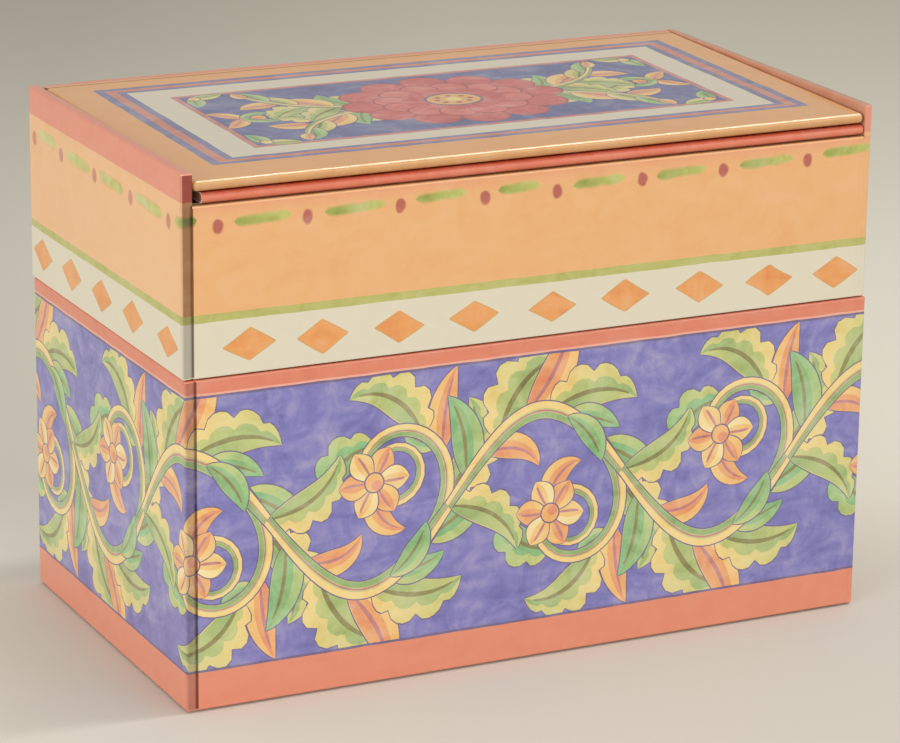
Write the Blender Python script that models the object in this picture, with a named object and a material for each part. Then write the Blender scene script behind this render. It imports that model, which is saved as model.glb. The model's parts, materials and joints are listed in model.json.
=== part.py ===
"""Recipe card box: a hinged box of paper-wrapped board with a flip-up top panel, tab dividers and cards.

Metres, +Z up. The origin is the centre of the underside, and the front faces -Y.
"""

import itertools
import math

import bmesh
import bpy
from mathutils import Matrix, Vector

# Cards and tab dividers, which set the box's width and height
CARD_WIDTH = 0.1524
CARD_HEIGHT = 0.1016
CARD_SIDE_ROOM = 0.0099
CARD_HEADROOM = 0.0049
PACKET_THICKNESS = 0.006
DIVIDER_THICKNESS = 0.0004
TAB_HEIGHT = 0.010
TAB_SIDE_GAP = 0.001
TAB_RADIUS = 0.003
TAB_ARC_STEPS = 4
DIVIDERS = 6
CARD_LEAN = math.radians(7)

# The closed box
DEPTH = 0.0972
SEAM_HEIGHT = 0.0795
COVER_OFFSET = 0.0005

# Board, paper and the room between them
PLANE_DIGITS = 9
FLAT_ANGLE = math.radians(1)
BOARD = 0.0014
LEAF_BOARD = 0.0015
PAPER = 0.0002
SEAT_GAP = 0.0003
SEAM_GAP = 0.0003
CUT_OVERRUN = 0.003

# Turned-in edges, linings and hinge papers
WALL_TURN_IN = 0.012
FLOOR_TURN_IN = 0.012
LEAF_TURN_IN = 0.015
LINING_REVEAL = 0.003
FOOT_PAPER_INSET = 0.0015
LINER_REACH = 0.018
FLAP_REVEAL = 0.0008
FLAP_CUT_BACK = 0.008

# Deck and top panel
NOSE_DROP = 0.002
NOSE_RADIUS = 0.0007
NOSE_STEPS = 4
ROUND_PROFILE_SHARE = 0.5
DECK_LEFT_RELIEF = 0.0026
DECK_RIGHT_GAP = 0.0005
PANEL_SIDE_GAP = 0.0003

# Layers of a wall, as distances in from the outline
BOARD_OUTSIDE = PAPER + SEAT_GAP
BOARD_INSIDE = BOARD_OUTSIDE + BOARD
TURN_IN_OUTSIDE = BOARD_INSIDE + SEAT_GAP
TURN_IN_INSIDE = TURN_IN_OUTSIDE + PAPER
LINING_OUTSIDE = TURN_IN_INSIDE + SEAT_GAP
LINING_INSIDE = LINING_OUTSIDE + PAPER
WIDTH = LINING_INSIDE + CARD_SIDE_ROOM + CARD_WIDTH + CARD_SIDE_ROOM + LINING_INSIDE

# Levels of the base
WRAP_BOTTOM = PAPER + SEAT_GAP
FLOOR_BOTTOM = WRAP_BOTTOM + PAPER + SEAT_GAP
FLOOR_TOP = FLOOR_BOTTOM + BOARD
FLOOR_LINING_BOTTOM = FLOOR_TOP + SEAT_GAP
FLOOR_LINING_TOP = FLOOR_LINING_BOTTOM + PAPER
CARD_FOOT = FLOOR_LINING_TOP + SEAT_GAP
BASE_TOP = SEAM_HEIGHT - SEAM_GAP / 2
BASE_BOARD_TOP = BASE_TOP - BOARD_OUTSIDE

# Levels of the cover, the deck and the top panel
LEAF = BOARD_OUTSIDE + LEAF_BOARD + BOARD_OUTSIDE
COVER_BOTTOM = SEAM_HEIGHT + SEAM_GAP / 2
COVER_BOARD_BOTTOM = COVER_BOTTOM + BOARD_OUTSIDE
DECK_BOTTOM = CARD_FOOT + CARD_HEIGHT + TAB_HEIGHT + CARD_HEADROOM
DECK_TOP = DECK_BOTTOM + LEAF
HEIGHT = DECK_TOP + SEAT_GAP + LEAF + NOSE_DROP
FRONT_TOP = DECK_BOTTOM - SEAT_GAP
BACK_TOP = HEIGHT - BOARD_OUTSIDE

# Sideways centres of the two bodies, and the hinge lines
ORIGIN = Vector((0, 0, 0))
BASE_X = COVER_OFFSET / 2
COVER_X = -COVER_OFFSET / 2
COVER_HINGE = Vector((0, DEPTH / 2, SEAM_HEIGHT))
PANEL_HINGE = Vector((0, DEPTH / 2 - LINING_OUTSIDE - SEAT_GAP, HEIGHT))
PANEL_LENGTH = DEPTH / 2 + PANEL_HINGE.y
PANEL_TILT = math.asin(NOSE_DROP / PANEL_LENGTH)

CORAL = (0.72, 0.20, 0.12)
PEACH = (0.80, 0.46, 0.22)
PERIWINKLE = (0.22, 0.20, 0.48)
CREAM = (0.78, 0.72, 0.56)
GREYBOARD = (0.38, 0.29, 0.19)
CARD_STOCK = (0.86, 0.82, 0.72)
RAW_ROUGH_SHARE = 0.9
MATTE_ROUGH_SHARE = 0.75
SATIN_ROUGH_SHARE = 0.6
GLOSS_ROUGH_SHARE = 0.3
TINTS = (CORAL, PEACH, (0.42, 0.50, 0.14), PERIWINKLE, (0.74, 0.40, 0.30), (0.32, 0.46, 0.36))


def clear_scene():
    for item in list(bpy.data.objects):
        bpy.data.objects.remove(item)


def material(name, colour, roughness):
    made = bpy.data.materials.new(name)
    made.use_nodes = True
    surface = made.node_tree.nodes["Principled BSDF"]
    surface.inputs["Base Color"].default_value = (*colour, 1)
    surface.inputs["Roughness"].default_value = roughness
    surface.inputs["Metallic"].default_value = 0
    return made


def pivot(name, place, parent=None, tilt=0):
    """An empty on a hinge line, which carries every piece that turns with it."""
    made = bpy.data.objects.new(name, None)
    bpy.context.scene.collection.objects.link(made)
    made.location = place
    made.rotation_euler.x = tilt
    if parent:
        made.parent = parent
        made.location = place - parent.location
    return made


def add_object(name, mesh, place, carrier=None, surface=None):
    """Links a mesh at a place in the world, or in the tilted panel's own frame, under its carrier."""
    made = bpy.data.objects.new(name, mesh)
    bpy.context.scene.collection.objects.link(made)
    made.location = place
    if carrier:
        made.parent = carrier
    if surface:
        mesh.materials.append(surface)
    return made


def box_mesh(name, size, rounded_axis=None, radius=0, steps=1):
    """A box about its own centre, with the four edges along one axis rounded where that is asked for."""
    shape = bmesh.new()
    bmesh.ops.create_cube(shape, size=1)
    bmesh.ops.scale(shape, vec=size, verts=shape.verts)
    if rounded_axis is not None:
        along = [edge for edge in shape.edges if edge_run(edge)[rounded_axis] != 0]
        bmesh.ops.bevel(shape, geom=along, offset=radius, segments=steps, profile=ROUND_PROFILE_SHARE)
    mesh = bpy.data.meshes.new(name)
    shape.to_mesh(mesh)
    shape.free()
    return mesh


def edge_run(edge):
    return edge.verts[0].co - edge.verts[1].co


def box(name, low, high, surface, carrier=None, **rounding):
    """A box between two corners, in the world or, on a carrier, in the carrier's frame."""
    low, high = Vector(low), Vector(high)
    mesh = box_mesh(name, high - low, **rounding)
    return add_object(name, mesh, (low + high) / 2, carrier, surface)


def cut(target, label, low, high, carrier=None, **rounding):
    """Takes a box out of the target with a hidden cutter."""
    cutter = box(f"{target.name}_{label}_cutter", low, high, None, carrier, **rounding)
    cutter.hide_render = True
    cutter.display_type = "WIRE"
    step = target.modifiers.new(label, "BOOLEAN")
    step.operation = "DIFFERENCE"
    step.object = cutter


def inset(centre_x, amount, bottom, top):
    """Corners of an upright box whose four sides lie one amount inside a body's outline."""
    across, along = WIDTH / 2 - amount, DEPTH / 2 - amount
    return (centre_x - across, -along, bottom), (centre_x + across, along, top)


def wall_spans(centre_x):
    """The x and y ranges of a body's four wall boards: the end boards run the full depth."""
    left, right = centre_x - WIDTH / 2, centre_x + WIDTH / 2
    front, back = -DEPTH / 2, DEPTH / 2
    along_y = (front + BOARD_OUTSIDE, back - BOARD_OUTSIDE)
    along_x = (left + TURN_IN_OUTSIDE, right - TURN_IN_OUTSIDE)
    return {
        "left": ((left + BOARD_OUTSIDE, left + BOARD_INSIDE), along_y),
        "right": ((right - BOARD_INSIDE, right - BOARD_OUTSIDE), along_y),
        "front": (along_x, (front + BOARD_OUTSIDE, front + BOARD_INSIDE)),
        "back": (along_x, (back - BOARD_INSIDE, back - BOARD_OUTSIDE)),
    }


def add_wall_boards(body, centre_x, bottom, tops, surface, origin=ORIGIN, carrier=None):
    for side, (across, along) in wall_spans(centre_x).items():
        low = Vector((across[0], along[0], bottom)) - origin
        high = Vector((across[1], along[1], tops[side])) - origin
        box(f"{body}_{side}_board", low, high, surface, carrier)


def carve(name, block, hollows, surface, carrier=None, origin=ORIGIN):
    """A block with box-shaped hollows, made of its cells between all the boxes' planes."""
    planes = [sorted(set(cut_planes(block, hollows, axis))) for axis in range(3)]
    counts = [len(levels) - 1 for levels in planes]
    cells = {
        cell
        for cell in itertools.product(*map(range, counts))
        if not any(holds(hollow, cell_middle(planes, cell)) for hollow in hollows)
    }
    shape = bmesh.new()
    corners = {}
    for cell, axis, side in itertools.product(sorted(cells), range(3), (0, 1)):
        beyond = list(cell)
        beyond[axis] += 1 if side else -1
        if tuple(beyond) not in cells:
            ring = [corner_of(shape, corners, planes, key) for key in face_keys(cell, axis, side)]
            shape.faces.new(ring)
    bmesh.ops.recalc_face_normals(shape, faces=shape.faces)
    bmesh.ops.dissolve_limit(shape, angle_limit=FLAT_ANGLE, verts=shape.verts, edges=shape.edges)
    mesh = bpy.data.meshes.new(name)
    shape.to_mesh(mesh)
    shape.free()
    mesh.transform(Matrix.Translation(-origin))
    return add_object(name, mesh, ORIGIN, carrier, surface)


def cut_planes(block, hollows, axis):
    """The levels along one axis where a hollow starts or ends within the block."""
    low, high = round(block[0][axis], PLANE_DIGITS), round(block[1][axis], PLANE_DIGITS)
    for corner in itertools.chain(block, *hollows):
        level = round(corner[axis], PLANE_DIGITS)
        if low <= level <= high:
            yield level


def cell_middle(planes, cell):
    return [(levels[step] + levels[step + 1]) / 2 for levels, step in zip(planes, cell)]


def holds(hollow, point):
    return all(low < value < high for low, value, high in zip(hollow[0], point, hollow[1]))


def face_keys(cell, axis, side):
    """The four corners of one side of a cell, in order round it, as steps along the three axes."""
    across, along = [other for other in range(3) if other != axis]
    for step_across, step_along in ((0, 0), (1, 0), (1, 1), (0, 1)):
        key = list(cell)
        key[axis] += side
        key[across] += step_across
        key[along] += step_along
        yield tuple(key)


def corner_of(shape, corners, planes, key):
    if key not in corners:
        corners[key] = shape.verts.new([levels[step] for levels, step in zip(planes, key)])
    return corners[key]


def wall_channels(centre_x, levels):
    """The room for each wall board between a wrap's outer skin and its turned-in edge."""
    grown = BOARD_OUTSIDE - PAPER
    for side, (across, along) in wall_spans(centre_x).items():
        bottom, top = levels[side]
        yield (across[0] - grown, along[0] - grown, bottom), (across[1] + grown, along[1] + grown, top)


def add_base(colours):
    box("base_floor_board", *inset(BASE_X, TURN_IN_OUTSIDE, FLOOR_BOTTOM, FLOOR_TOP), colours["board"])
    tops = dict.fromkeys(("left", "right", "front", "back"), BASE_BOARD_TOP)
    add_wall_boards("base", BASE_X, FLOOR_BOTTOM, tops, colours["board"])
    box("base_bottom_paper", *inset(BASE_X, FOOT_PAPER_INSET, 0, PAPER), colours["foot"])
    add_base_wrap(colours["base_print"])
    lining = box(
        "base_lining",
        *inset(BASE_X, LINING_OUTSIDE, FLOOR_LINING_TOP + SEAT_GAP, BASE_TOP - LINING_REVEAL),
        colours["lining"],
    )
    cut(lining, "hollow", *inset(BASE_X, LINING_INSIDE, -CUT_OVERRUN, HEIGHT))
    floor_lining = inset(BASE_X, LINING_OUTSIDE, FLOOR_LINING_BOTTOM, FLOOR_LINING_TOP)
    box("base_floor_lining", *floor_lining, colours["lining"])


def add_base_wrap(surface):
    """One printed sheet round the base, turned in under the floor and over the three free rims."""
    low, high = inset(BASE_X, TURN_IN_INSIDE, FLOOR_TOP, BASE_TOP + CUT_OVERRUN)
    levels = dict.fromkeys(("left", "right", "front"), (FLOOR_TOP, BASE_TOP - PAPER))
    levels["back"] = (FLOOR_TOP, BASE_TOP + CUT_OVERRUN)
    hollows = [
        inset(BASE_X, FLOOR_TURN_IN, -CUT_OVERRUN, FLOOR_TOP),
        inset(BASE_X, PAPER, WRAP_BOTTOM + PAPER, BASE_TOP - WALL_TURN_IN),
        (low, (high[0], DEPTH / 2 - PAPER, high[2])),
        *wall_channels(BASE_X, levels),
    ]
    carve("base_wrap", inset(BASE_X, 0, WRAP_BOTTOM, BASE_TOP), hollows, surface)


def add_cover(colours, hinge):
    board_tops = {
        "left": HEIGHT - BOARD_OUTSIDE,
        "right": HEIGHT - BOARD_OUTSIDE,
        "front": FRONT_TOP - BOARD_OUTSIDE,
        "back": BACK_TOP - BOARD_OUTSIDE,
    }
    add_wall_boards("cover", COVER_X, COVER_BOARD_BOTTOM, board_tops, colours["board"], COVER_HINGE, hinge)
    add_cover_wrap(colours["cover_print"], hinge)
    low, high = from_hinge(inset(COVER_X, LINING_OUTSIDE, COVER_BOTTOM + LINING_REVEAL, FRONT_TOP))
    lining = box("cover_lining", low, high, colours["lining"], hinge)
    cut(lining, "hollow", *from_hinge(inset(COVER_X, LINING_INSIDE, 0, HEIGHT)), hinge)
    add_panel_flap(colours["panel_print"], hinge)


def from_hinge(corners):
    """The same corners, measured from the cover's hinge line."""
    return tuple(Vector(corner) - COVER_HINGE for corner in corners)


def add_cover_wrap(surface, hinge):
    """One printed sheet round the cover: full height at the ends, lower in front, a little lower behind."""
    below, above = COVER_BOTTOM - CUT_OVERRUN, HEIGHT + CUT_OVERRUN
    levels = {
        "left": (COVER_BOTTOM + PAPER, HEIGHT - PAPER),
        "right": (COVER_BOTTOM + PAPER, HEIGHT - PAPER),
        "front": (COVER_BOTTOM + PAPER, FRONT_TOP - PAPER),
        "back": (below, BACK_TOP - PAPER),
    }
    hollow = inset(COVER_X, TURN_IN_INSIDE, below, above)
    left, right = hollow[0][0], hollow[1][0]
    behind, ahead = DEPTH / 2 + CUT_OVERRUN, -DEPTH / 2 - CUT_OVERRUN
    hollows = [
        hollow,
        inset(COVER_X, PAPER, COVER_BOTTOM + WALL_TURN_IN, FRONT_TOP - WALL_TURN_IN),
        ((left, ahead, FRONT_TOP), (right, 0, above)),
        ((left, 0, BACK_TOP), (right, behind, above)),
        ((left, 0, below), (right, DEPTH / 2 - PAPER, COVER_BOTTOM + WALL_TURN_IN)),
        *wall_channels(COVER_X, levels),
    ]
    outline = inset(COVER_X, 0, COVER_BOTTOM, HEIGHT)
    carve("cover_wrap", outline, hollows, surface, hinge, COVER_HINGE)


def add_leaf(name, low, high, colours, print_key, carrier):
    """A wrapped leaf of thinner board: its paper turns in underneath, round a lining sheet."""
    low, high = Vector(low), Vector(high)
    rounding = {"rounded_axis": 0, "steps": NOSE_STEPS}
    paper, seat = Vector((PAPER,) * 3), Vector((BOARD_OUTSIDE,) * 3)
    wrap = box(f"{name}_wrap", low, high, colours[print_key], carrier, radius=NOSE_RADIUS, **rounding)
    cut(wrap, "core", low + paper, high - paper, carrier, radius=NOSE_RADIUS - PAPER, **rounding)
    sides = Vector((LEAF_TURN_IN, LEAF_TURN_IN, 0))
    middle = (low.z + high.z) / 2
    below = Vector((0, 0, CUT_OVERRUN))
    cut(wrap, "window", low + sides - below, Vector((high.x, high.y, middle)) - sides, carrier)
    radius = NOSE_RADIUS - BOARD_OUTSIDE
    box(f"{name}_board", low + seat, high - seat, colours["board"], carrier, radius=radius, **rounding)
    inner = sides + Vector((SEAT_GAP, SEAT_GAP, 0))
    sheet_top = Vector((high.x, high.y, low.z + PAPER))
    box(f"{name}_lining", low + inner, sheet_top - inner, colours["lining"], carrier)


def add_deck(colours, hinge):
    left = COVER_X - WIDTH / 2 + TURN_IN_INSIDE + DECK_LEFT_RELIEF
    right = COVER_X + WIDTH / 2 - TURN_IN_INSIDE - DECK_RIGHT_GAP
    back = DEPTH / 2 - TURN_IN_INSIDE - SEAT_GAP
    low, high = from_hinge(((left, -DEPTH / 2, DECK_BOTTOM), (right, back, DECK_TOP)))
    add_leaf("deck", low, high, colours, "coral", hinge)


def add_panel(colours, hinge):
    """The top panel lies in the frame of its own tilted hinge, its upper face level with the hinge line."""
    half = WIDTH / 2 - TURN_IN_INSIDE - PANEL_SIDE_GAP
    low = (COVER_X - half, -PANEL_LENGTH, -LEAF)
    high = (COVER_X + half, -SEAT_GAP / 2, 0)
    add_leaf("panel", low, high, colours, "panel_print", hinge)


def add_panel_flap(surface, hinge):
    """The strip of the panel's sheet that is pasted on the back wall, cut back at its left end."""
    left = COVER_X - WIDTH / 2 + LINING_OUTSIDE + FLAP_CUT_BACK
    right = COVER_X + WIDTH / 2 - LINING_OUTSIDE
    front = PANEL_HINGE.y + SEAT_GAP / 2
    corners = (left, front, HEIGHT - PAPER), (right, DEPTH / 2 - FLAP_REVEAL, HEIGHT)
    box("panel_hinge_flap", *from_hinge(corners), surface, hinge)


def add_hinge_liner(name, centre_x, near, far, surface, origin=ORIGIN, carrier=None):
    """An angle of paper over a back board's edge, from the hinge line to the inside of the wall."""
    rise = 1 if far > near else -1
    across = WIDTH / 2 - LINING_OUTSIDE
    back = DEPTH / 2
    outline = [
        (back - BOARD_OUTSIDE, near),
        (back - BOARD_OUTSIDE, near + rise * PAPER),
        (back - TURN_IN_OUTSIDE, near + rise * PAPER),
        (back - TURN_IN_OUTSIDE, far),
        (back - TURN_IN_INSIDE, far),
        (back - TURN_IN_INSIDE, near),
    ]
    place = Vector((centre_x, back, near))
    shape = bmesh.new()
    corners = [shape.verts.new(Vector((-across, y - back, z - near))) for y, z in outline]
    extrude_face(shape, corners, Vector((across + across, 0, 0)))
    mesh = bpy.data.meshes.new(name)
    shape.to_mesh(mesh)
    shape.free()
    add_object(name, mesh, place - origin, carrier, surface)


def extrude_face(shape, corners, way):
    """Fills an outline, extrudes it one way and turns every face outwards."""
    face = shape.faces.new(corners)
    moved = bmesh.ops.extrude_face_region(shape, geom=[face], use_keep_orig=True)["geom"]
    far_corners = [item for item in moved if isinstance(item, bmesh.types.BMVert)]
    bmesh.ops.translate(shape, vec=way, verts=far_corners)
    bmesh.ops.recalc_face_normals(shape, faces=shape.faces)


def tab_outline(index):
    """A divider's outline in its own plane: a card with one round-cornered tab, stepped by its number."""
    pitch = CARD_WIDTH / DIVIDERS
    left = index * pitch - CARD_WIDTH / 2 + TAB_SIDE_GAP
    right = left + pitch - TAB_SIDE_GAP - TAB_SIDE_GAP
    top = CARD_HEIGHT + TAB_HEIGHT
    points = [(-CARD_WIDTH / 2, 0), (-CARD_WIDTH / 2, CARD_HEIGHT), (left, CARD_HEIGHT)]
    for centre_x, start in ((left + TAB_RADIUS, math.pi), (right - TAB_RADIUS, math.pi / 2)):
        for step in range(TAB_ARC_STEPS + 1):
            angle = start - step * math.pi / 2 / TAB_ARC_STEPS
            x = centre_x + TAB_RADIUS * math.cos(angle)
            points.append((x, top - TAB_RADIUS + TAB_RADIUS * math.sin(angle)))
    return points + [(right, CARD_HEIGHT), (CARD_WIDTH / 2, CARD_HEIGHT), (CARD_WIDTH / 2, 0)]


def add_upright(name, outline, thickness, foot_y, surface):
    """A sheet or packet that stands on the floor lining and leans back against the cards behind it."""
    shape = bmesh.new()
    corners = [shape.verts.new(Vector((x, 0, z))) for x, z in outline]
    extrude_face(shape, corners, Vector((0, -thickness, 0)))
    mesh = bpy.data.meshes.new(name)
    shape.to_mesh(mesh)
    shape.free()
    place = Vector((BASE_X, foot_y, CARD_FOOT))
    standing = add_object(name, mesh, place, None, surface)
    standing.rotation_euler.x = -CARD_LEAN


def add_cards(colours):
    """From the back: a packet of cards and its divider, six times, each foot on the floor."""
    half = CARD_WIDTH / 2
    card = [(-half, 0), (-half, CARD_HEIGHT), (half, CARD_HEIGHT), (half, 0)]
    foot = DEPTH / 2 - LINING_INSIDE - SEAT_GAP - CARD_HEIGHT * math.sin(CARD_LEAN)
    for index in reversed(range(DIVIDERS)):
        add_upright(f"card_packet_{index + 1}", card, PACKET_THICKNESS, foot, colours["card"])
        foot -= (PACKET_THICKNESS + SEAT_GAP) / math.cos(CARD_LEAN)
        tint = colours["tabs"][index]
        add_upright(f"divider_{index + 1}", tab_outline(index), DIVIDER_THICKNESS, foot, tint)
        foot -= (DIVIDER_THICKNESS + SEAT_GAP) / math.cos(CARD_LEAN)


def make_materials():
    return {
        "board": material("greyboard", GREYBOARD, RAW_ROUGH_SHARE),
        "lining": material("lining_paper", CREAM, MATTE_ROUGH_SHARE),
        "foot": material("foot_paper", CREAM, MATTE_ROUGH_SHARE),
        "base_print": material("base_print", PERIWINKLE, GLOSS_ROUGH_SHARE),
        "cover_print": material("cover_print", PEACH, GLOSS_ROUGH_SHARE),
        "panel_print": material("panel_print", PEACH, GLOSS_ROUGH_SHARE),
        "coral": material("coral_paper", CORAL, GLOSS_ROUGH_SHARE),
        "liner": material("hinge_paper", CORAL, SATIN_ROUGH_SHARE),
        "card": material("card_stock", CARD_STOCK, MATTE_ROUGH_SHARE),
        "tabs": [
            material(f"divider_tint_{index + 1}", tint, SATIN_ROUGH_SHARE)
            for index, tint in enumerate(TINTS)
        ],
    }


def build():
    clear_scene()
    colours = make_materials()
    cover_pivot = pivot("cover_pivot", COVER_HINGE)
    panel_pivot = pivot("panel_pivot", PANEL_HINGE, cover_pivot, PANEL_TILT)
    add_base(colours)
    add_cover(colours, cover_pivot)
    add_deck(colours, cover_pivot)
    add_panel(colours, panel_pivot)
    lower = (BASE_TOP, SEAM_HEIGHT - LINER_REACH)
    upper = (COVER_BOTTOM, SEAM_HEIGHT + LINER_REACH)
    add_hinge_liner("hinge_liner_lower", BASE_X, *lower, colours["liner"])
    add_hinge_liner("hinge_liner_upper", COVER_X, *upper, colours["liner"], COVER_HINGE, cover_pivot)
    add_cards(colours)


build()
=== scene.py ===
"""Looks of the recipe card box, built round the frame that the CAD packed.

Pieces are in metres, +Z up, and the front faces -Y. Print is drawn flat, in millimetres, and folded
round the box. The scroll border and the painting on the top panel are a generic design.
"""

import json
import math

import bmesh
import bpy
import numpy as np
from mathutils import Matrix, Vector, noise
from mathutils.geometry import delaunay_2d_cdt


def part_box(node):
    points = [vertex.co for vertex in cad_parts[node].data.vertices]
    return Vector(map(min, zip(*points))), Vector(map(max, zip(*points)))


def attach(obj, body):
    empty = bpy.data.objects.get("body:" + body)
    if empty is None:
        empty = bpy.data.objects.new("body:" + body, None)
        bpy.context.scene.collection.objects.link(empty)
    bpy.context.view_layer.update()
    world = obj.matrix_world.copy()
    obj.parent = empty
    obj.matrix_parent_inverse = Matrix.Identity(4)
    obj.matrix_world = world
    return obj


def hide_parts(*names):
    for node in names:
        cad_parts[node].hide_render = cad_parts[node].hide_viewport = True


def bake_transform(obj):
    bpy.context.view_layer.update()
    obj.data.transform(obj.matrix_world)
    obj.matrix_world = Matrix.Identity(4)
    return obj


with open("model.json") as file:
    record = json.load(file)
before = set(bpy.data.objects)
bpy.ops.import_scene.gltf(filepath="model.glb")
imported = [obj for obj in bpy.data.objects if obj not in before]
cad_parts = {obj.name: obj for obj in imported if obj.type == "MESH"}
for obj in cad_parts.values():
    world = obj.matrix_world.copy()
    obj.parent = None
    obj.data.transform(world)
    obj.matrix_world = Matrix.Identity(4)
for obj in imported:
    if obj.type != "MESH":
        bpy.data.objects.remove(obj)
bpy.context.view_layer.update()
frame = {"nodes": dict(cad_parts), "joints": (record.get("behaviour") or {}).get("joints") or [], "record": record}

MM = 0.001

# The wobble of hand-painted edges draws on this seed, so that each run gives the same print
WOBBLE_SEED = 7
noise.seed_set(WOBBLE_SEED)

# Where the photograph was taken from
CAMERA_PLACE = (-394.25, -800.4, 326.3)
CAMERA_YAW = math.radians(26.286)
CAMERA_DIP = math.radians(16.751)
CAMERA_ROLL = math.radians(0.755)
CAMERA_LENS = 152.07
CAMERA_SENSOR = 36
CAMERA_REACH = 20

# Edges of the wrapped boards, in millimetres
FOLD_RADIUS = 0.6
RIM_RADIUS = 0.4
WALL = 2.6
RIGHT_WALL = 2.0
NARROW_RIM = WALL / 10
TURN_IN = 12.0
LEAF = 2.5
OVER_BOARD = 0.5
CORNER_STEPS = 3
RIM_STEPS = 3
NOSE_STEPS = 6
NOSE_RADIUS = 1.1
NOSE_CORNER = 1.0
WEAR_REACH = 0.5
JOIN_REACH = 0.000002
SMALL = 1e-9

# The strip over an end board's edge, and the crease beside it
STRIP_START = FOLD_RADIUS / 3
END_STRIP = 2.85
STRIP_GROOVE = ((2.0, 0.1), (2.4, 0.34), (2.65, 0.46))
CREASE_START = STRIP_GROOVE[1][0]
FAINT_GROOVE_SHARE = 0.15
GROOVE_FADE = 0.5
INNER_SINK = 0.8

# Levels of the printed bands above the underside, and along the front from its left edge
FOOT_BAND = 9.7
FIELD_TOP = 75.6
STRIPE_TOP = 79.5
CREAM_TOP = 92.5
GREEN_TOP = 94.4
END_BAND = 120.4
FRONT_BLUSH = 3.4
DIAMOND_SIZE = (13.2, 8.0)
FRONT_DIAMONDS = ((16.1, 86.3), (34.1, 86.2), (53.3, 86.2), (72.3, 86.5), (92.8, 86.5), (112.1, 86.9),
                  (131.9, 87.0), (150.9, 86.6), (169.5, 86.5))
SIDE_DIAMONDS = ((8.8, 86.7), (29.8, 86.8), (49.6, 86.8), (69.6, 86.8), (88.8, 86.9))
DOT_SIZE = (2.6, 3.4)
FRONT_DOTS = ((8.7, 114.3), (30.4, 114.4), (53.3, 114.6), (74.7, 114.4), (93.3, 114.0), (115.7, 114.7),
              (137.3, 114.8), (160.4, 115.0))
SIDE_DOTS = ((7.6, 114.7), (30.5, 114.7), (53.3, 114.7), (75.1, 114.8), (93.3, 115.0))
DASH_HEIGHT = 2.1
SIDE_DASH_HEIGHT = 2.6
FRONT_DASHES = ((12.7, 26.4, 115.2), (34.6, 49.8, 115.2), (57.1, 70.1, 115.9), (78.0, 89.0, 115.9),
                (97.4, 111.2, 115.3), (119.4, 132.8, 115.4), (141.6, 156.6, 115.7), (164.6, 177.8, 116.4))
SIDE_DASHES = ((11.2, 27.6, 115.6), (35.2, 50.2, 115.5), (56.0, 71.8, 115.6), (78.4, 90.4, 116.6))
CORNER_DASH = (-3.9, 3.6, 115.9)

# Painted shade: how dark the paper is made round the front left corner, over the board's edge by level, and in the
# crease
CORNER_PAINTED_SHADES = ((-1.3, 0.94), (-0.6, 0.86), (-0.3, 0.7))
STRIP_PAINTED_SHADES = (
    (0, (0.62, 0.56, 0.56, 1.0)), (STRIPE_TOP, (0.55, 0.55, 0.56, 1.0)),
    (GREEN_TOP, (0.38, 0.31, 0.23, 1.0)), (END_BAND, (0.66, 0.29, 0.14, 1.0)),
)
CREASE_PAINTED_SHADE = (0.32, 0.27, 0.26, 1.0)
OTHER_STRIPS_PAINTED_SHADE = (0.97, 0.97, 0.97, 1.0)


def linear(value):
    share = value / 255
    return share / 12.92 if share <= 0.04045 else ((share + 0.055) / 1.055) ** 2.4


def ink(red, green, blue, wash=1.0):
    """A printed colour from its usual 0 to 255 values, and how unevenly it was painted."""
    return np.array([linear(red), linear(green), linear(blue), wash])


PEACH = ink(233, 176, 117, 0.26)
# Painted sheen: the end walls' peach, paler than the front's
END_PEACH_PAINTED_SHEEN = ink(237, 186, 134, 0.2)
PANEL_PEACH = ink(229, 168, 107, 0.2)
CORAL = ink(226, 138, 108, 0.16)
# Painted sheen: the end walls' coral, paler than the coral elsewhere
END_CORAL_PAINTED_SHEEN = ink(227, 142, 116, 0.16)
CORAL_STRIPE = ink(221, 128, 98, 0.3)
STRIPE_LIGHT = ink(236, 170, 150, 0.3)
# Painted shade: a deep coral for the top of the strip over the front left board's edge
CORAL_PAINTED_SHADE = ink(176, 84, 62, 0.3)
# Painted shade: a duller, darker coral for the end walls' inner faces and the right wall's top
RIM_CORAL_PAINTED_SHADE = ink(200, 140, 112, 0.3)
CREAM_INK = ink(221, 214, 191, 0.1)
PANEL_CREAM = ink(219, 211, 189, 0.1)
LINE_GREEN = ink(184, 184, 100, 0.6)
DASH_DARK = ink(148, 160, 62, 0.9)
# Painted shade: the darker green where a corner dash runs onto the shaded strip
DASH_PAINTED_SHADE = ink(118, 136, 30, 0.5)
DASH_GREEN = ink(196, 196, 106, 0.9)
DASH_PALE = ink(206, 202, 138, 0.7)
DOT_ROSE = ink(184, 94, 76, 0.5)
DOT_PALE = ink(200, 134, 114, 0.5)
DIAMOND_EDGE = ink(216, 160, 90, 0.4)
DIAMOND_ORANGE = ink(231, 157, 84, 0.6)
PERIWINKLE = ink(128, 124, 190, 0.9)
PANEL_BLUE = ink(96, 104, 160, 0.8)
STRIPE_BLUE = ink(120, 122, 164, 0.7)
STRIPE_ROSE = ink(206, 132, 116, 0.7)
OUTLINE = ink(112, 98, 138, 0.6)
BUTTER = ink(242, 214, 142, 0.7)
CREAM_TIP = ink(248, 232, 184, 0.5)
APRICOT = ink(240, 184, 112, 0.8)
CORAL_PETAL = ink(228, 148, 112, 0.8)
ROSE = ink(196, 132, 136, 0.8)
LEAF_LIME = ink(204, 206, 130, 0.8)
LEAF_GREEN = ink(150, 182, 118, 0.9)
LEAF_MINT = ink(138, 194, 138, 0.9)
LEAF_OLIVE = ink(142, 138, 82, 0.9)
MEDALLION_RED = ink(208, 102, 102, 0.9)
MEDALLION_DARK = ink(178, 80, 90, 0.9)
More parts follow.
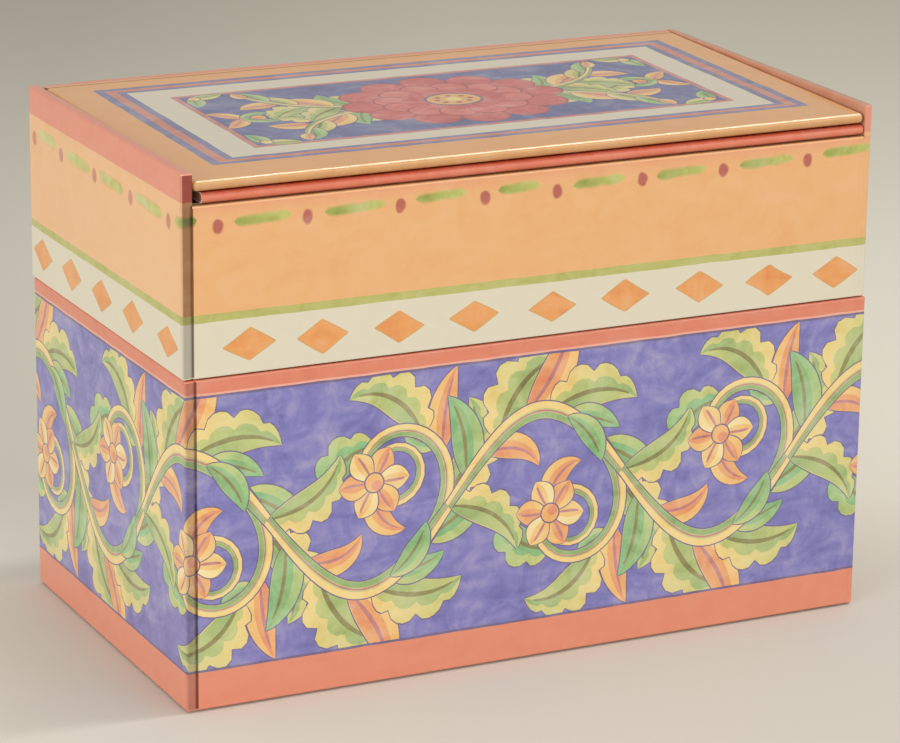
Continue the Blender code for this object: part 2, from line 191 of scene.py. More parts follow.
MEDALLION_ROSE = ink(218, 120, 114, 0.9)
GOLD = ink(228, 176, 110, 0.6)
PAPER_WHITE = ink(242, 235, 220, 0.2)
CARD_WHITE = ink(236, 230, 214, 0.3)
# Painted light: the raw board's colour lifted so that the deck's shaded cut end looks lit
RAW_BOARD_WITH_PAINTED_LIGHT = ink(186, 138, 102, 0.6)

# Tones of a leaf or petal, from its body by its shaded side to its vein
LEAF_TONES = (BUTTER, LEAF_LIME, LEAF_GREEN, LEAF_OLIVE)
MINT_TONES = (LEAF_LIME, LEAF_MINT, LEAF_GREEN, LEAF_OLIVE)
PETAL_TONES = (CREAM_TIP, BUTTER, APRICOT, ROSE)
BLUSH_TONES = (BUTTER, APRICOT, CORAL_PETAL, ROSE)


HINGES = {joint["name"]: Vector(joint["pos_m"]) for joint in frame["joints"]}


def box_mm(node):
    low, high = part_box(node)
    return np.array(low) / MM, np.array(high) / MM


def opaque(colour):
    return (*colour[:3], 1)


def linked(name, data):
    made = bpy.data.objects.new(name, data)
    bpy.context.scene.collection.objects.link(made)
    return made


def between(first, last, share):
    return first + (last - first) * share


# Painting on a flat sheet

class Painting:
    """Shapes painted in order on a flat sheet; a later shape hides what lies under it."""

    def __init__(self, outline, paint):
        self.shapes = []
        self.folds = []
        self.add(outline, paint)

    def add(self, outline, paint):
        if isinstance(paint, np.ndarray):
            paint = flat_paint(paint)
        outline = np.asarray(outline, float)
        self.shapes.append((outline if turns_left(outline) else outline[::-1], paint))

    def fold(self, start, end):
        """A line where the sheet bends, which gets edges of its own."""
        self.folds.append((start, end))

    def triangles(self):
        """Corner points and corner colours of the sheet's triangles, in rows of three."""
        points, edges, rings = [], [], []
        for outline, _ in self.shapes:
            rings.append(list(range(len(points), len(points) + len(outline))))
            points.extend(Vector(point) for point in outline)
        for start, end in self.folds:
            edges.append((len(points), len(points) + 1))
            points.extend((Vector(start), Vector(end)))
        made = delaunay_2d_cdt(points, edges, rings, 1, 1e-4, True)
        corners = np.array([tuple(point) for point in made[0]])
        kept = [(face, max(owners)) for face, owners in zip(made[2], made[5]) if 0 in owners]
        faces = np.array([face for face, _ in kept])
        tops = np.array([top for _, top in kept])
        places = corners[faces]
        colours = np.zeros((len(faces), 3, 4))
        for index, (_, paint) in enumerate(self.shapes):
            chosen = tops == index
            if chosen.any():
                colours[chosen] = paint(places[chosen].reshape(-1, 2)).reshape(-1, 3, 4)
        return places, colours


def turns_left(outline):
    """Whether an outline runs anticlockwise, as the triangulation needs."""
    x, y = outline.T
    return x @ np.roll(y, -1) - y @ np.roll(x, -1) > 0


def flat_paint(colour):
    return lambda points: np.tile(colour, (len(points), 1))


def fade(first, last, start, end):
    """Paint that runs from one colour to another between two points."""
    start, way = np.asarray(start, float), np.subtract(end, start)
    reach = way @ way

    def paint(points):
        share = np.clip((points - start) @ way / reach, 0, 1)[:, None]
        return between(first, last, share)

    return paint


def uneven(points, amount, grain=6.0):
    """The same outline, a little unsteady as by hand."""
    shifts = [noise.noise_vector(Vector((x / grain, y / grain, amount)))[:2] for x, y in points]
    return np.asarray(points, float) + amount * np.array(shifts)


BAND_STEP = 2.5
BAND_WOBBLE = 0.18


def band(start, end, low, high):
    """A painted stripe along a wall."""
    along = np.arange(start - BAND_STEP, end + 2 * BAND_STEP, BAND_STEP)
    return uneven([(u, low) for u in along] + [(u, high) for u in along[::-1]], BAND_WOBBLE)


THINNEST = 0.04


def stroke(path, widths, shift=0.0):
    """The outline of a brush stroke beside a path, with its half width at each point."""
    path = np.asarray(path, float)
    way = np.gradient(path, axis=0)
    way /= np.maximum(np.linalg.norm(way, axis=1, keepdims=True), SMALL)
    side = np.column_stack((-way[:, 1], way[:, 0]))
    middle = path + side * np.broadcast_to(shift, len(path))[:, None]
    reach = side * np.maximum(widths, THINNEST)[:, None]
    return np.vstack((middle + reach, (middle - reach)[::-1]))


def swept(root, heading, length, bend, steps=14, curl=1.0):
    """A path from a root that turns by a bend in degrees over its length, later where curl is over 1."""
    share = ((np.arange(steps) + 0.5) / steps) ** curl
    turns = np.radians(heading + bend * share)
    moves = np.column_stack((np.sin(turns), np.cos(turns))) * length / steps
    return np.vstack((root, np.asarray(root) + np.cumsum(moves, axis=0)))


def oval(centre, width, height, steps=20):
    angles = np.linspace(0, 2 * math.pi, steps, endpoint=False)
    return np.column_stack((
        centre[0] + np.cos(angles) * width / 2,
        centre[1] + np.sin(angles) * height / 2,
    ))


def rectangle(low, high):
    return [(low[0], low[1]), (high[0], low[1]), (high[0], high[1]), (low[0], high[1])]


# Brush strokes that shade a shape: their widths, and shifts to the shaded side, as shares of its own width
INK_LINE = 0.3
LEAF_FULLNESS = 0.8
LEAF_POINT = 0.8
LOBES = (0.62, 0.38, 0.6, 1.25)
LEAF_MIDDLE = (0.66, 0.3)
LEAF_SHADE = (0.34, 0.62)
LEAF_VEIN = (0.12, 0.2)
LEAF_STEPS = (14, 20)
SPRAY_CURL = 1.25
VINE_STROKES = ((0.6, 0.4, LEAF_LIME), (0.32, 0.62, LEAF_GREEN), (0.12, 0.1, ROSE))
BERRY_LINE = 0.7
BERRY_SHADE = ((0.14, -0.16), 0.62, 0.56)
PETALS = 6
PETAL_TURN = 0.3
PETAL_WIDTH = 0.33
PETAL_BEND = 16
PETAL_FULLNESS = 1.35
ROSETTE_HEART = 0.5


class Motif:
    """A place on a painting where shapes are drawn about a point, mirrored as asked."""

    def __init__(self, painting, place, flip=(1, 1)):
        self.painting = painting
        self.place = np.asarray(place, float)
        self.flip = np.asarray(flip, float)

    def at(self, points):
        return np.asarray(points, float) * self.flip + self.place

    def add(self, outline, paint):
        self.painting.add(self.at(outline), paint)

    def leaf(self, root, heading, length, width, bend, tones=LEAF_TONES, lobes=0, curl=1.0,
             fullness=LEAF_FULLNESS):
        """A curled leaf or petal, shaded on the inner side of its bend and lobed on the outer."""
        path = swept(root, heading, length, bend, LEAF_STEPS[1 if lobes else 0], curl)
        share = np.linspace(0, 1, len(path))
        inside = -1 if bend > 0 else 1
        reach = width * np.sin(math.pi * share ** fullness) ** LEAF_POINT
        least, swing, power, size = LOBES
        scallop = (least + swing * np.abs(np.sin(math.pi * lobes * share)) ** power) * size
        outer = reach * scallop if lobes else reach
        half, middle = (reach + outer) / 2, inside * (reach - outer) / 2
        ends = self.at(root), self.at(path[-1])
        self.add(stroke(path, half + INK_LINE, middle), OUTLINE)
        self.add(stroke(path, half, middle), fade(tones[0], tones[1], *ends))
        wide, shift = LEAF_MIDDLE
        self.add(stroke(path, half * wide, middle + inside * half * shift), fade(tones[1], tones[2], *ends))
        wide, shift = LEAF_SHADE
        self.add(stroke(path, reach * wide, inside * reach * shift), fade(tones[2], tones[1], *ends))
        wide, shift = LEAF_VEIN
        path, reach = path[1:-2], reach[1:-2]
        self.add(stroke(path, reach * wide, inside * reach * shift), tones[3])

    def berry(self, centre, size, tones=(BUTTER, APRICOT)):
        place, wide, high = BERRY_SHADE
        self.add(oval(centre, size + BERRY_LINE, size + BERRY_LINE), OUTLINE)
        self.add(oval(centre, size, size), tones[0])
        self.add(oval(np.add(centre, np.multiply(place, size)), size * wide, size * high), tones[1])

    def rosette(self, centre, size):
        """A round flower with a cup, its petals blushed in turn."""
        for step in range(PETALS):
            self.leaf(centre, 360 * (step + PETAL_TURN) / PETALS, size, size * PETAL_WIDTH, PETAL_BEND,
                      PETAL_TONES if step % 2 else BLUSH_TONES, fullness=PETAL_FULLNESS)
        self.berry(centre, size * ROSETTE_HEART, (APRICOT, CORAL_PETAL))

    def spray(self, path, leaves):
        """Leaves along a path: where each starts, its turn off the path, and its shape as for a leaf."""
        way = np.gradient(path, axis=0)
        for run, turn, *shape in leaves:
            index = int(run * (len(path) - 1))
            heading = math.degrees(math.atan2(*way[index]))
            self.leaf(path[index], heading + turn, *shape, SPRAY_CURL)

    def vine(self, path, widths, inside=1):
        """A stem with a light body and a shaded side."""
        self.add(stroke(path, widths + INK_LINE), OUTLINE)
        self.add(stroke(path, widths), BUTTER)
        for wide, shift, colour in VINE_STROKES:
            self.add(stroke(path, widths * wide, inside * widths * shift), colour)


# Pieces made of painted sheets and folded strips

class Skin:
    """A painted paper skin, gathered from sheets and strips and made into one mesh."""

    def __init__(self):
        self.points = []
        self.faces = []
        self.colours = []

    def sheet(self, painting, place, shades=None):
        """Adds a painting, each of its points put where the place function says, darkened by painted shade where
        asked.
        """
        corners, colours = painting.triangles()
        if shades:
            colours *= shades(*corners.mean(axis=1).T)[:, None]
        flat, index = np.unique(corners.reshape(-1, 2), axis=0, return_inverse=True)
        start = len(self.points)
        self.points.extend(place(u, v) for u, v in flat)
        self.faces.extend((index.reshape(-1, 3) + start).tolist())
        self.colours.extend(colours.reshape(-1, 4).tolist())

    def strip(self, rows, colours, closed=False):
        """Adds bands of faces between rows of points; a colour for each row."""
        count = len(rows[0])
        start = len(self.points)
        for row in rows:
            self.points.extend(tuple(point) for point in row)
        for level in range(len(rows) - 1):
            for step in range(count if closed else count - 1):
                after = (step + 1) % count
                low, high = start + level * count, start + (level + 1) * count
                self.faces.append((low + step, low + after, high + after, high + step))
                shades = (colours[level], colours[level], colours[level + 1], colours[level + 1])
                self.colours.extend(list(shade) for shade in shades)

    def cap(self, ring, colour):
        start = len(self.points)
        self.points.extend(tuple(point) for point in ring)
        self.faces.append(tuple(range(start, start + len(ring))))
        self.colours.extend([list(colour)] * len(ring))

    def finish(self, name, body, surface, replaced=(), worn=()):
        """Joins the parts, turns their faces outwards and hands the piece to its body."""
        mesh = bpy.data.meshes.new(name)
        mesh.from_pydata(np.array(self.points) * MM, [], self.faces)
        paint = mesh.color_attributes.new("paint", "FLOAT_COLOR", "CORNER")
        paint.data.foreach_set("color", np.array(self.colours, np.float32).ravel())
        shape = bmesh.new()
        shape.from_mesh(mesh)
        bmesh.ops.remove_doubles(shape, verts=shape.verts, dist=JOIN_REACH)
        bmesh.ops.recalc_face_normals(shape, faces=shape.faces)
        shape.to_mesh(mesh)
        shape.free()
        self.add_wear(mesh, worn)
        mesh.materials.append(surface)
        made = linked(name, mesh)
        if body:
            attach(made, body)
        if replaced:
            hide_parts(*replaced)
        return made

    @staticmethod
    def add_wear(mesh, edges):
        """Marks the points near worn edges, which are pairs of points in millimetres."""
        points = np.empty(len(mesh.vertices) * 3)
        mesh.vertices.foreach_get("co", points)
        points = points.reshape(-1, 3) / MM
        nearest = np.full(len(points), WEAR_REACH)
        for start, end in edges:
            start, way = np.array(start, float), np.subtract(end, start)
            share = np.clip((points - start) @ way / (way @ way), 0, 1)
            gap = np.linalg.norm(points - start - share[:, None] * way, axis=1)
            nearest = np.minimum(nearest, gap)
        mark = mesh.attributes.new("worn", "FLOAT", "POINT")
        mark.data.foreach_set("value", 1 - nearest / WEAR_REACH)


class Walls:
    """The four walls of a box, unrolled from the back left corner by way of the front."""

    def __init__(self, low, high):
        (x0, y0), (x1, y1) = low[:2], high[:2]
        self.across, self.deep = x1 - x0, y1 - y0
        self.behind = self.across + self.deep
        self.start, self.end = -self.deep, 2 * self.across + self.deep
        self.long_sides = ((0, self.across), (self.behind, self.end))
        starts = (self.start, 0, self.across, self.behind, self.end)
        places = np.array(((x0, y1), (x0, y0), (x1, y0), (x1, y1), (x0, y1)), float)
        facings = np.array(((0, 1), (-1, 0), (0, -1), (1, 0), (0, 1), (-1, 0)), float)
        self.corners = list(zip(starts, places, facings, facings[1:]))

    def point(self, along, inset=0.0):
        """The plan point at an unrolled distance, some way in from the outline."""
        for start, corner, before, after in self.corners:
            share = (along - start) / FOLD_RADIUS
            if abs(share) <= 1 + SMALL:
                angle = math.radians(45 * (1 + share))
                way = before * math.cos(angle) + after * math.sin(angle)
                middle = corner - FOLD_RADIUS * (before + after)
                radius = FOLD_RADIUS - inset
                return middle + radius * (way if radius >= 0 else before + after)
        for (start, corner, _, facing), (end, *_) in zip(self.corners, self.corners[1:]):
            if start < along < end:
                way = np.array((-facing[1], facing[0]))
                run = min(max(along - start, inset), end - start - inset)
                return corner + way * run - facing * inset

    def groove(self, along):
        """How far the paper dips between an end board's edge and the front or back board."""
        stops = [(FOLD_RADIUS, 0.0), *STRIP_GROOVE, (END_STRIP, 0.0)]
        for low, high in self.long_sides:
            if low < along < high:
                near = min(along - low, high - along)
                faint = FAINT_GROOVE_SHARE if low or along - low > self.across / 2 else 1
                return faint * float(np.interp(near, *zip(*stops), left=0, right=0))
        return 0.0

    def shades(self, along, level):
        """Painted shade: factors that darken the paint over the front left board's edge, darkest in the crease
        beside it.
        """
        factors = np.ones((len(along), 4))
        for low, high in self.long_sides:
            near = np.minimum(along - low, high - along)
            factors[(near > STRIP_START) & (near < CREASE_START)] = OTHER_STRIPS_PAINTED_SHADE
        for start, shade in STRIP_PAINTED_SHADES:
            factors[(along > STRIP_START) & (along < CREASE_START) & (level > start)] = shade
        for start, share in CORNER_PAINTED_SHADES:
            factors[(along > start) & (along < STRIP_START)] = (share, share, share, 1)
        factors[(along > CREASE_START) & (along < END_STRIP)] = CREASE_PAINTED_SHADE
        return factors

    def upright_edges(self, foot, top):
        return [((*corner, foot), (*corner, top)) for _, corner, _, _ in self.corners[:4]]

    def stations(self, low, high):
        """Unrolled distances at the corner folds and groove lines, between two limits."""
        found = {low, high}
        for start, *_ in self.corners:
            steps = np.linspace(-FOLD_RADIUS, FOLD_RADIUS, 2 * CORNER_STEPS + 1)
            found.update(float(start + step) for step in steps)
        for near, far in self.long_sides:
            for run in (*(stop for stop, _ in STRIP_GROOVE), END_STRIP, CORNER_PAINTED_SHADES[0][0]):
                found.update((near + run, far - run))
        return sorted(run for run in found if low - SMALL <= run <= high + SMALL)

    def ring(self, stations, inset, level):
        return [(*self.point(run, inset + self.groove(run)), level) for run in stations]


def rounded(inset_start, level_start, inset_end, level_end, steps=RIM_STEPS):
    """Stops on a quarter turn between two (inset, level) places, leaving the wall upright."""
    angles = [math.pi / 2 * step / steps for step in range(steps + 1)]
    return [(between(inset_start, inset_end, 1 - math.cos(angle)),
             between(level_start, level_end, math.sin(angle))) for angle in angles]


def rim_profile(outer_level, top, inner_level):
    """From the outer wall over a rim to the end of the turned-in edge."""
    lift = RIM_RADIUS if top > outer_level else -RIM_RADIUS
    over = rounded(0, top - lift, RIM_RADIUS, top)
    down = rounded(WALL, top - lift, WALL - RIM_RADIUS, top)[::-1]
    return over + down + [(WALL, inner_level)]


def coloured(stops, colour):
    return [colour] * len(stops)


# Print on the walls

def paint_bands(painting, walls, levels):
    for low, high, colour in levels:
        painting.add(band(walls.start, walls.end, low, high), colour)


VINE_LEAVES = (
    (0.03, -50, 25, 4.4, -88, LEAF_TONES, 5),
    (0.10, 30, 22, 4.0, 50, MINT_TONES, 0),
    (0.20, -24, 17, 3.2, -96, BLUSH_TONES, 0),
    (0.26, 40, 29, 5.6, -84, LEAF_TONES, 5),
    (0.44, 22, 27, 4.4, 56, BLUSH_TONES, 0),
    (0.55, 46, 25, 5.0, -76, LEAF_TONES, 4),
    (0.66, 30, 15, 2.8, -40, MINT_TONES, 0),
)
CURL_LEAVES = (
    (0.10, 34, 21, 3.8, -50, MINT_TONES, 0),
    (0.20, 42, 27, 5.2, -92, LEAF_TONES, 5),
    (0.31, 24, 21, 3.6, 34, BLUSH_TONES, 0),
    (0.38, 44, 25, 5.0, -104, LEAF_TONES, 5),
    (0.52, 44, 20, 4.2, -110, MINT_TONES, 4),
    (0.64, 40, 14, 3.0, -90, BLUSH_TONES, 0),
    (0.34, -50, 10, 2.2, 64, MINT_TONES, 0),
)
BENDS = 12
BENDS_BEFORE = 3
FIRST_BEND = 44.0
VINE_SWING = 19.0
STEM_OVERLAP = 1
STEM_STEPS = 32
STEM_WIDTHS = (1.1, 1.0)
CURL_PATH = ((9.5, -15.2), 48, 104, -610, 46, 1.75)
CURL_WIDTHS = (1.9, 0.8)
ROOT_LEAF = ((7, -16.6), 68, 16, 2.9, -62, MINT_TONES)
ROOT_LEAF_FULLNESS = 1.0
ROSETTE_SIZE = 9.0


def paint_frieze(painting, walls):
    """A running scroll: each bend of the vine holds a curl with a rosette, and leaves trail behind it."""
    reach = (walls.end - walls.start) / BENDS
    middle = (FOOT_BAND + FIELD_TOP) / 2
    along = np.linspace(-reach / 2 - STEM_OVERLAP, reach / 2 + STEM_OVERLAP, STEM_STEPS)
    share = np.clip(along / reach + 1 / 2, 0, 1)
    stem = np.column_stack((along, -VINE_SWING * np.cos(math.pi * along / reach)))
    curl = swept(*CURL_PATH)
    thin, swell = STEM_WIDTHS
    for bend in range(-BENDS_BEFORE, BENDS - BENDS_BEFORE + 1):
        motif = Motif(painting, (FIRST_BEND + bend * reach, middle), (1, 1 if bend % 2 == 0 else -1))
        motif.spray(curl, CURL_LEAVES)
        motif.spray(stem, VINE_LEAVES)
        motif.vine(curl, np.linspace(*CURL_WIDTHS, len(curl)))
        motif.vine(stem, thin + swell * np.sin(math.pi * share))
        motif.leaf(*ROOT_LEAF, fullness=ROOT_LEAF_FULLNESS)
        motif.rosette(curl[-1], ROSETTE_SIZE)


def round_the_walls(walls, front, side):
    """Unrolled places: the front's own, the left face's by their depth, and both again behind."""
    places = list(front) + [(-depth, level) for depth, level in side]
    places += [(walls.across + depth, level) for depth, level in side]
    return places + [(walls.behind + run, level) for run, level in front]


# How much the soft edge of a brush mark reaches past it, and how much of it is the paper's colour
DASH_EDGES = ((0.3, 0.7), (0.05, 0.35), (-0.25, 0))
DOT_EDGES = ((0.35, 0.65), (0, 0.3), (-0.4, 0))
DASH_STEPS = 16
DASH_RISE = 0.3
DASH_SQUARENESS = 6
DASH_WOBBLE = (0.3, 3.0)
DOT_WOBBLE = (0.3, 2.0)
DIAMOND_WOBBLE = (0.5, 9.0)
DIAMOND_STOPS = (0.04, 0.35, 0.65, 0.96)
DIAMOND_FILL = 0.9


def paint_diamonds(painting, walls):
    wide, high = np.array(DIAMOND_SIZE) / 2
    corners = np.array(((wide, 0), (0, high), (-wide, 0), (0, -high)))
    for centre in np.array(round_the_walls(walls, FRONT_DIAMONDS, SIDE_DIAMONDS)):
        shape = [centre + here + (there - here) * share
                 for here, there in zip(corners, np.roll(corners, -1, axis=0)) for share in DIAMOND_STOPS]
        edge = uneven(shape, *DIAMOND_WOBBLE)
        painting.add(edge, DIAMOND_EDGE)
        painting.add(centre + (edge - centre) * DIAMOND_FILL, DIAMOND_ORANGE)


def paint_dash(painting, start, end, level, first, last, height=DASH_HEIGHT):
    share = np.linspace(-1, 1, DASH_STEPS)
    middle, half = (start + end) / 2, (end - start) / 2
    path = [(middle + half * step, level + DASH_RISE * step) for step in share]
    widths = height / 2 * np.sqrt(1 - share ** DASH_SQUARENESS)
    for growth, pale in DASH_EDGES:
        tones = [between(tone, PEACH, pale) for tone in (first, last)]
        outline = uneven(stroke(path, widths + growth), *DASH_WOBBLE)
        painting.add(outline, fade(*tones, path[0], path[-1]))


def paint_dashes(painting, walls):
    for place in round_the_walls(walls, FRONT_DOTS, SIDE_DOTS):
        on_end = place[0] < 0 or walls.across < place[0] < walls.behind
        for growth, pale in DOT_EDGES:
            dot = oval(place, *(np.array(DOT_SIZE) + growth))
            painting.add(uneven(dot, *DOT_WOBBLE), between(DOT_PALE if on_end else DOT_ROSE, PEACH, pale))
    for start, end, level in FRONT_DASHES:
        for shift in (0, walls.behind):
            paint_dash(painting, shift + start, shift + end, level, DASH_DARK, DASH_GREEN)
    for near, far, level in SIDE_DASHES:
        for start, end in ((-near, -far), (walls.across + near, walls.across + far)):
            paint_dash(painting, start, end, level, DASH_GREEN, DASH_PALE, SIDE_DASH_HEIGHT)
    # Each corner dash darkens where it runs onto the strip, a painted shade
    start, end, level = CORNER_DASH
    for corner in (0, walls.behind):
        paint_dash(painting, corner + start, corner + end, level, DASH_GREEN, DASH_PAINTED_SHADE)


def wall_place(walls, groove_top=None):
    def place(along, level):
        share = 1.0 if groove_top is None else min(max((groove_top - level) / GROOVE_FADE + 1, 0), 1)
        return (*walls.point(along, walls.groove(along) * share), level)
    return place


# How far print runs on past an edge, which trims it
BLEED = 5
TOP_BLEED = 1
BASE_BANDS = (
    (-BLEED, FOOT_BAND, CORAL),
    (FOOT_BAND - 0.1, FOOT_BAND + 0.5, OUTLINE),
    (FIELD_TOP - 0.6, FIELD_TOP, OUTLINE),
    (FIELD_TOP, FIELD_TOP + 0.5, STRIPE_LIGHT),
    (FIELD_TOP + 0.5, STRIPE_TOP + BLEED, CORAL_STRIPE),
)
COVER_BANDS = (
    (-BLEED, STRIPE_TOP, CORAL),
    (STRIPE_TOP, STRIPE_TOP + 0.45, OUTLINE),
    (STRIPE_TOP + 0.45, CREAM_TOP, CREAM_INK),
    (CREAM_TOP, GREEN_TOP, LINE_GREEN),
)


def edge_rows(walls, start, end, profile, colour):
    rows = [walls.ring(walls.stations(start, end), inset, level) for inset, level in profile]
    return rows, coloured(rows, colour)


def add_base_wrap(surface):
    low, high = box_mm("base_wrap")
    walls = Walls(low, high)
    foot, top = low[2], high[2]
    outline = rectangle((walls.start, foot + RIM_RADIUS), (walls.end, top - RIM_RADIUS))
    painting = Painting(outline, PERIWINKLE)
    for run in walls.stations(walls.start, walls.end):
        painting.fold((run, foot), (run, top))
    paint_frieze(painting, walls)
    paint_bands(painting, walls, BASE_BANDS)
    skin = Skin()
    # the print is darkened by painted shade over the boards' edges and in the crease
    skin.sheet(painting, wall_place(walls), walls.shades)
    under = [(TURN_IN, foot)] + rounded(0, foot + RIM_RADIUS, RIM_RADIUS, foot)[::-1]
    skin.strip(*edge_rows(walls, walls.start, walls.end, under, CORAL))
    over = rim_profile(top - RIM_RADIUS, top, top - TURN_IN)
    narrow = rounded(0, top - RIM_RADIUS, NARROW_RIM, top)
    first, last = walls.behind + RIGHT_WALL, walls.end - WALL
    for start, end, profile in ((walls.start, first, over), (first, last, narrow), (last, walls.end, over)):
        skin.strip(*edge_rows(walls, start, end, profile, CORAL_STRIPE))
    worn = walls.upright_edges(foot, top)
    return skin.finish("base_wrap_print", "base", surface, ("base_wrap",), worn)


def add_cover_wrap(surface):
    low, high = box_mm("cover_wrap")
    walls = Walls(low, high)
    foot, top = low[2], high[2]
    front_top = box_mm("cover_front_board")[1][2] + OVER_BOARD
    back_top = box_mm("cover_back_board")[1][2] + OVER_BOARD
    end, front, back = top - RIM_RADIUS, front_top - RIM_RADIUS, back_top - RIM_RADIUS
    front_span = (WALL, walls.across - RIGHT_WALL)
    back_span = (walls.behind + RIGHT_WALL, walls.end - WALL)
    outline = [
        (walls.start, foot + RIM_RADIUS), (walls.end, foot + RIM_RADIUS), (walls.end, end),
        (back_span[1], end), (back_span[1], back), (back_span[0], back), (back_span[0], end),
        (front_span[1], end), (front_span[1], front), (front_span[0], front), (front_span[0], end),
        (walls.start, end),
    ]
    painting = Painting(outline, PEACH)
    for run in walls.stations(walls.start, walls.end):
        painting.fold((run, foot), (run, top))
    for level in (front_top, front_top + GROOVE_FADE):
        painting.fold((walls.start, level), (walls.end, level))
    paint_bands(painting, walls, COVER_BANDS)
    # The end walls are painted a paler peach than the front, a painted sheen
    for start in (walls.start, walls.across):
        painting.add(rectangle((start, GREEN_TOP), (start + walls.deep, top + TOP_BLEED)), END_PEACH_PAINTED_SHEEN)
    blush = fade((PEACH + CORAL) / 2, PEACH, (0, front_top), (0, front_top - FRONT_BLUSH))
    painting.add(rectangle((0, front_top - FRONT_BLUSH), (walls.across, front_top)), blush)
    paint_diamonds(painting, walls)
    paint_dashes(painting, walls)
    # The top coral band on the end walls is painted paler, a painted sheen
    for start, stop in ((walls.start - BLEED, front_span[0]), (front_span[1], back_span[0]),
                        (back_span[1], walls.end + BLEED)):
        painting.add(band(start, stop, END_BAND, top + TOP_BLEED), END_CORAL_PAINTED_SHEEN)
    # Painted shade: the top of the strip over the front left board's edge is painted a deep coral
    strip = rectangle((STRIP_START, END_BAND), (END_STRIP + TOP_BLEED, top + TOP_BLEED))
    painting.add(strip, CORAL_PAINTED_SHADE)
    skin = Skin()
    # the print is darkened by painted shade over the boards' edges and in the crease
    skin.sheet(painting, wall_place(walls, front_top), walls.shades)
    under = rim_profile(foot + RIM_RADIUS, foot, foot + TURN_IN)
    narrow = rounded(0, foot + RIM_RADIUS, NARROW_RIM, foot)
    for start, stop, profile in ((walls.start, back_span[0], under), (*back_span, narrow),
                                 (back_span[1], walls.end, under)):
        skin.strip(*edge_rows(walls, start, stop, profile, CREAM_INK))
    for span, level, colour in ((front_span, front_top, PEACH), (back_span, back_top, CORAL)):
        profile = rim_profile(level - RIM_RADIUS, level, level - TURN_IN)
        rows = [[(*walls.point(run, inset), z) for run in span] for inset, z in profile]
        skin.strip(rows, coloured(rows, colour))
    add_end_cap(skin, walls, -1, top, front_top)
    add_end_cap(skin, walls, 1, top, front_top)
    worn = walls.upright_edges(foot, top)
    corners = [(*corner, top) for _, corner, _, _ in walls.corners]
    worn += [corners[:2], corners[2:4]]
    return skin.finish("cover_wrap_print", "cover", surface, ("cover_wrap",), worn)


def add_end_cap(skin, walls, side, top, front_top):
    """The rounded top of an end wall and its inner face, in one wrapped piece."""
    if side < 0:
        runs = walls.stations(walls.end - WALL, walls.end)[:-1] + walls.stations(walls.start, WALL)
    else:
        runs = walls.stations(walls.across - RIGHT_WALL, walls.behind + RIGHT_WALL)
    ring = np.array([walls.point(run) for run in runs])
    levels = rounded(0, top - RIM_RADIUS, RIM_RADIUS, top)
    rows = [[(*point, level) for point in inset_ring(ring, inset)] for inset, level in levels]
    # The right wall's top and both inner faces are painted a darker coral, a painted shade
    over = END_CORAL_PAINTED_SHEEN if side < 0 else RIM_CORAL_PAINTED_SHADE
    skin.strip(rows, (END_CORAL_PAINTED_SHEEN, over, over, over), closed=True)
    skin.cap(rows[-1], over)
    (x, y), back = (ring[-1], ring[0]) if side < 0 else (ring[0], ring[-1])
    profile = ((front_top - TURN_IN, INNER_SINK), (front_top, INNER_SINK),
               (front_top + GROOVE_FADE, 0), (top - RIM_RADIUS, 0))
    rows = [[(x, y + sink, level), (*back, level)] for level, sink in profile]
    skin.strip(rows, coloured(rows, RIM_CORAL_PAINTED_SHADE))


def inset_ring(ring, amount):
    """A closed outline moved inwards by an amount, its sides kept parallel."""
    normals = []
    for way in (ring - np.roll(ring, 1, axis=0), np.roll(ring, -1, axis=0) - ring):
        way /= np.linalg.norm(way, axis=1, keepdims=True)
        normals.append(np.column_stack((-way[:, 1], way[:, 0])))
    middle = normals[0] + normals[1]
    return ring + middle * amount / np.sum(middle * normals[0], axis=1, keepdims=True)


# Panel and deck

SHARP_CORNER = 0.05
LEAST_CORNER = 0.01


def slab_ring(low, high, inset, corner, steps=5):
    """A round-cornered plan outline, anticlockwise from the front left."""
    ring = []
    reach = max(corner - inset, LEAST_CORNER)
    for side_x, side_y, start in ((-1, -1, 180), (1, -1, 270), (1, 1, 0), (-1, 1, 90)):
        x = low[0] + corner if side_x < 0 else high[0] - corner
        y = low[1] + corner if side_y < 0 else high[1] - corner
        for step in range(steps + 1):
            angle = math.radians(start + 90 * step / steps)
            ring.append((x + reach * math.cos(angle), y + reach * math.sin(angle)))
    return ring


PANEL_FRAME = ((12.0, 11.7), (167.0, 86.6))
PANEL_MOUNT = ((18.7, 16.5), (160.2, 81.3))
PANEL_PICTURE = ((26.8, 22.4), (152.5, 74.0))
FRAME_STOPS = ((0, STRIPE_BLUE), (0.33, STRIPE_ROSE), (0.7, STRIPE_BLUE), (1, PANEL_CREAM))
PICTURE_LINES = ((0, ROSE), (-0.7, STRIPE_ROSE), (-1.5, PANEL_BLUE))
FRAME_STEP = 3
FRAME_WOBBLE = 0.25
PANEL_LEAVES = (
    (0.04, -60, 17, 4.0, 70, LEAF_TONES, 4),
    (0.16, -34, 15, 3.2, -60, MINT_TONES, 0),
    (0.28, 36, 16, 3.6, 54, LEAF_TONES, 4),
    (0.34, -46, 16, 3.8, 66, BLUSH_TONES, 0),
    (0.50, 40, 16, 3.6, 66, LEAF_TONES, 4),
    (0.60, -40, 13, 3.1, 52, LEAF_TONES, 0),
    (0.74, 40, 11, 2.8, 44, BLUSH_TONES, 0),
    (0.84, -34, 11, 2.6, 30, MINT_TONES, 0),
)
PANEL_STEM = ((20, 1), 84, 33, -62, 22, 1.3)
PANEL_STEM_WIDTHS = (1.2, 0.6)
STEM_TIP = (30, 6, 1.7, -30, BLUSH_TONES)

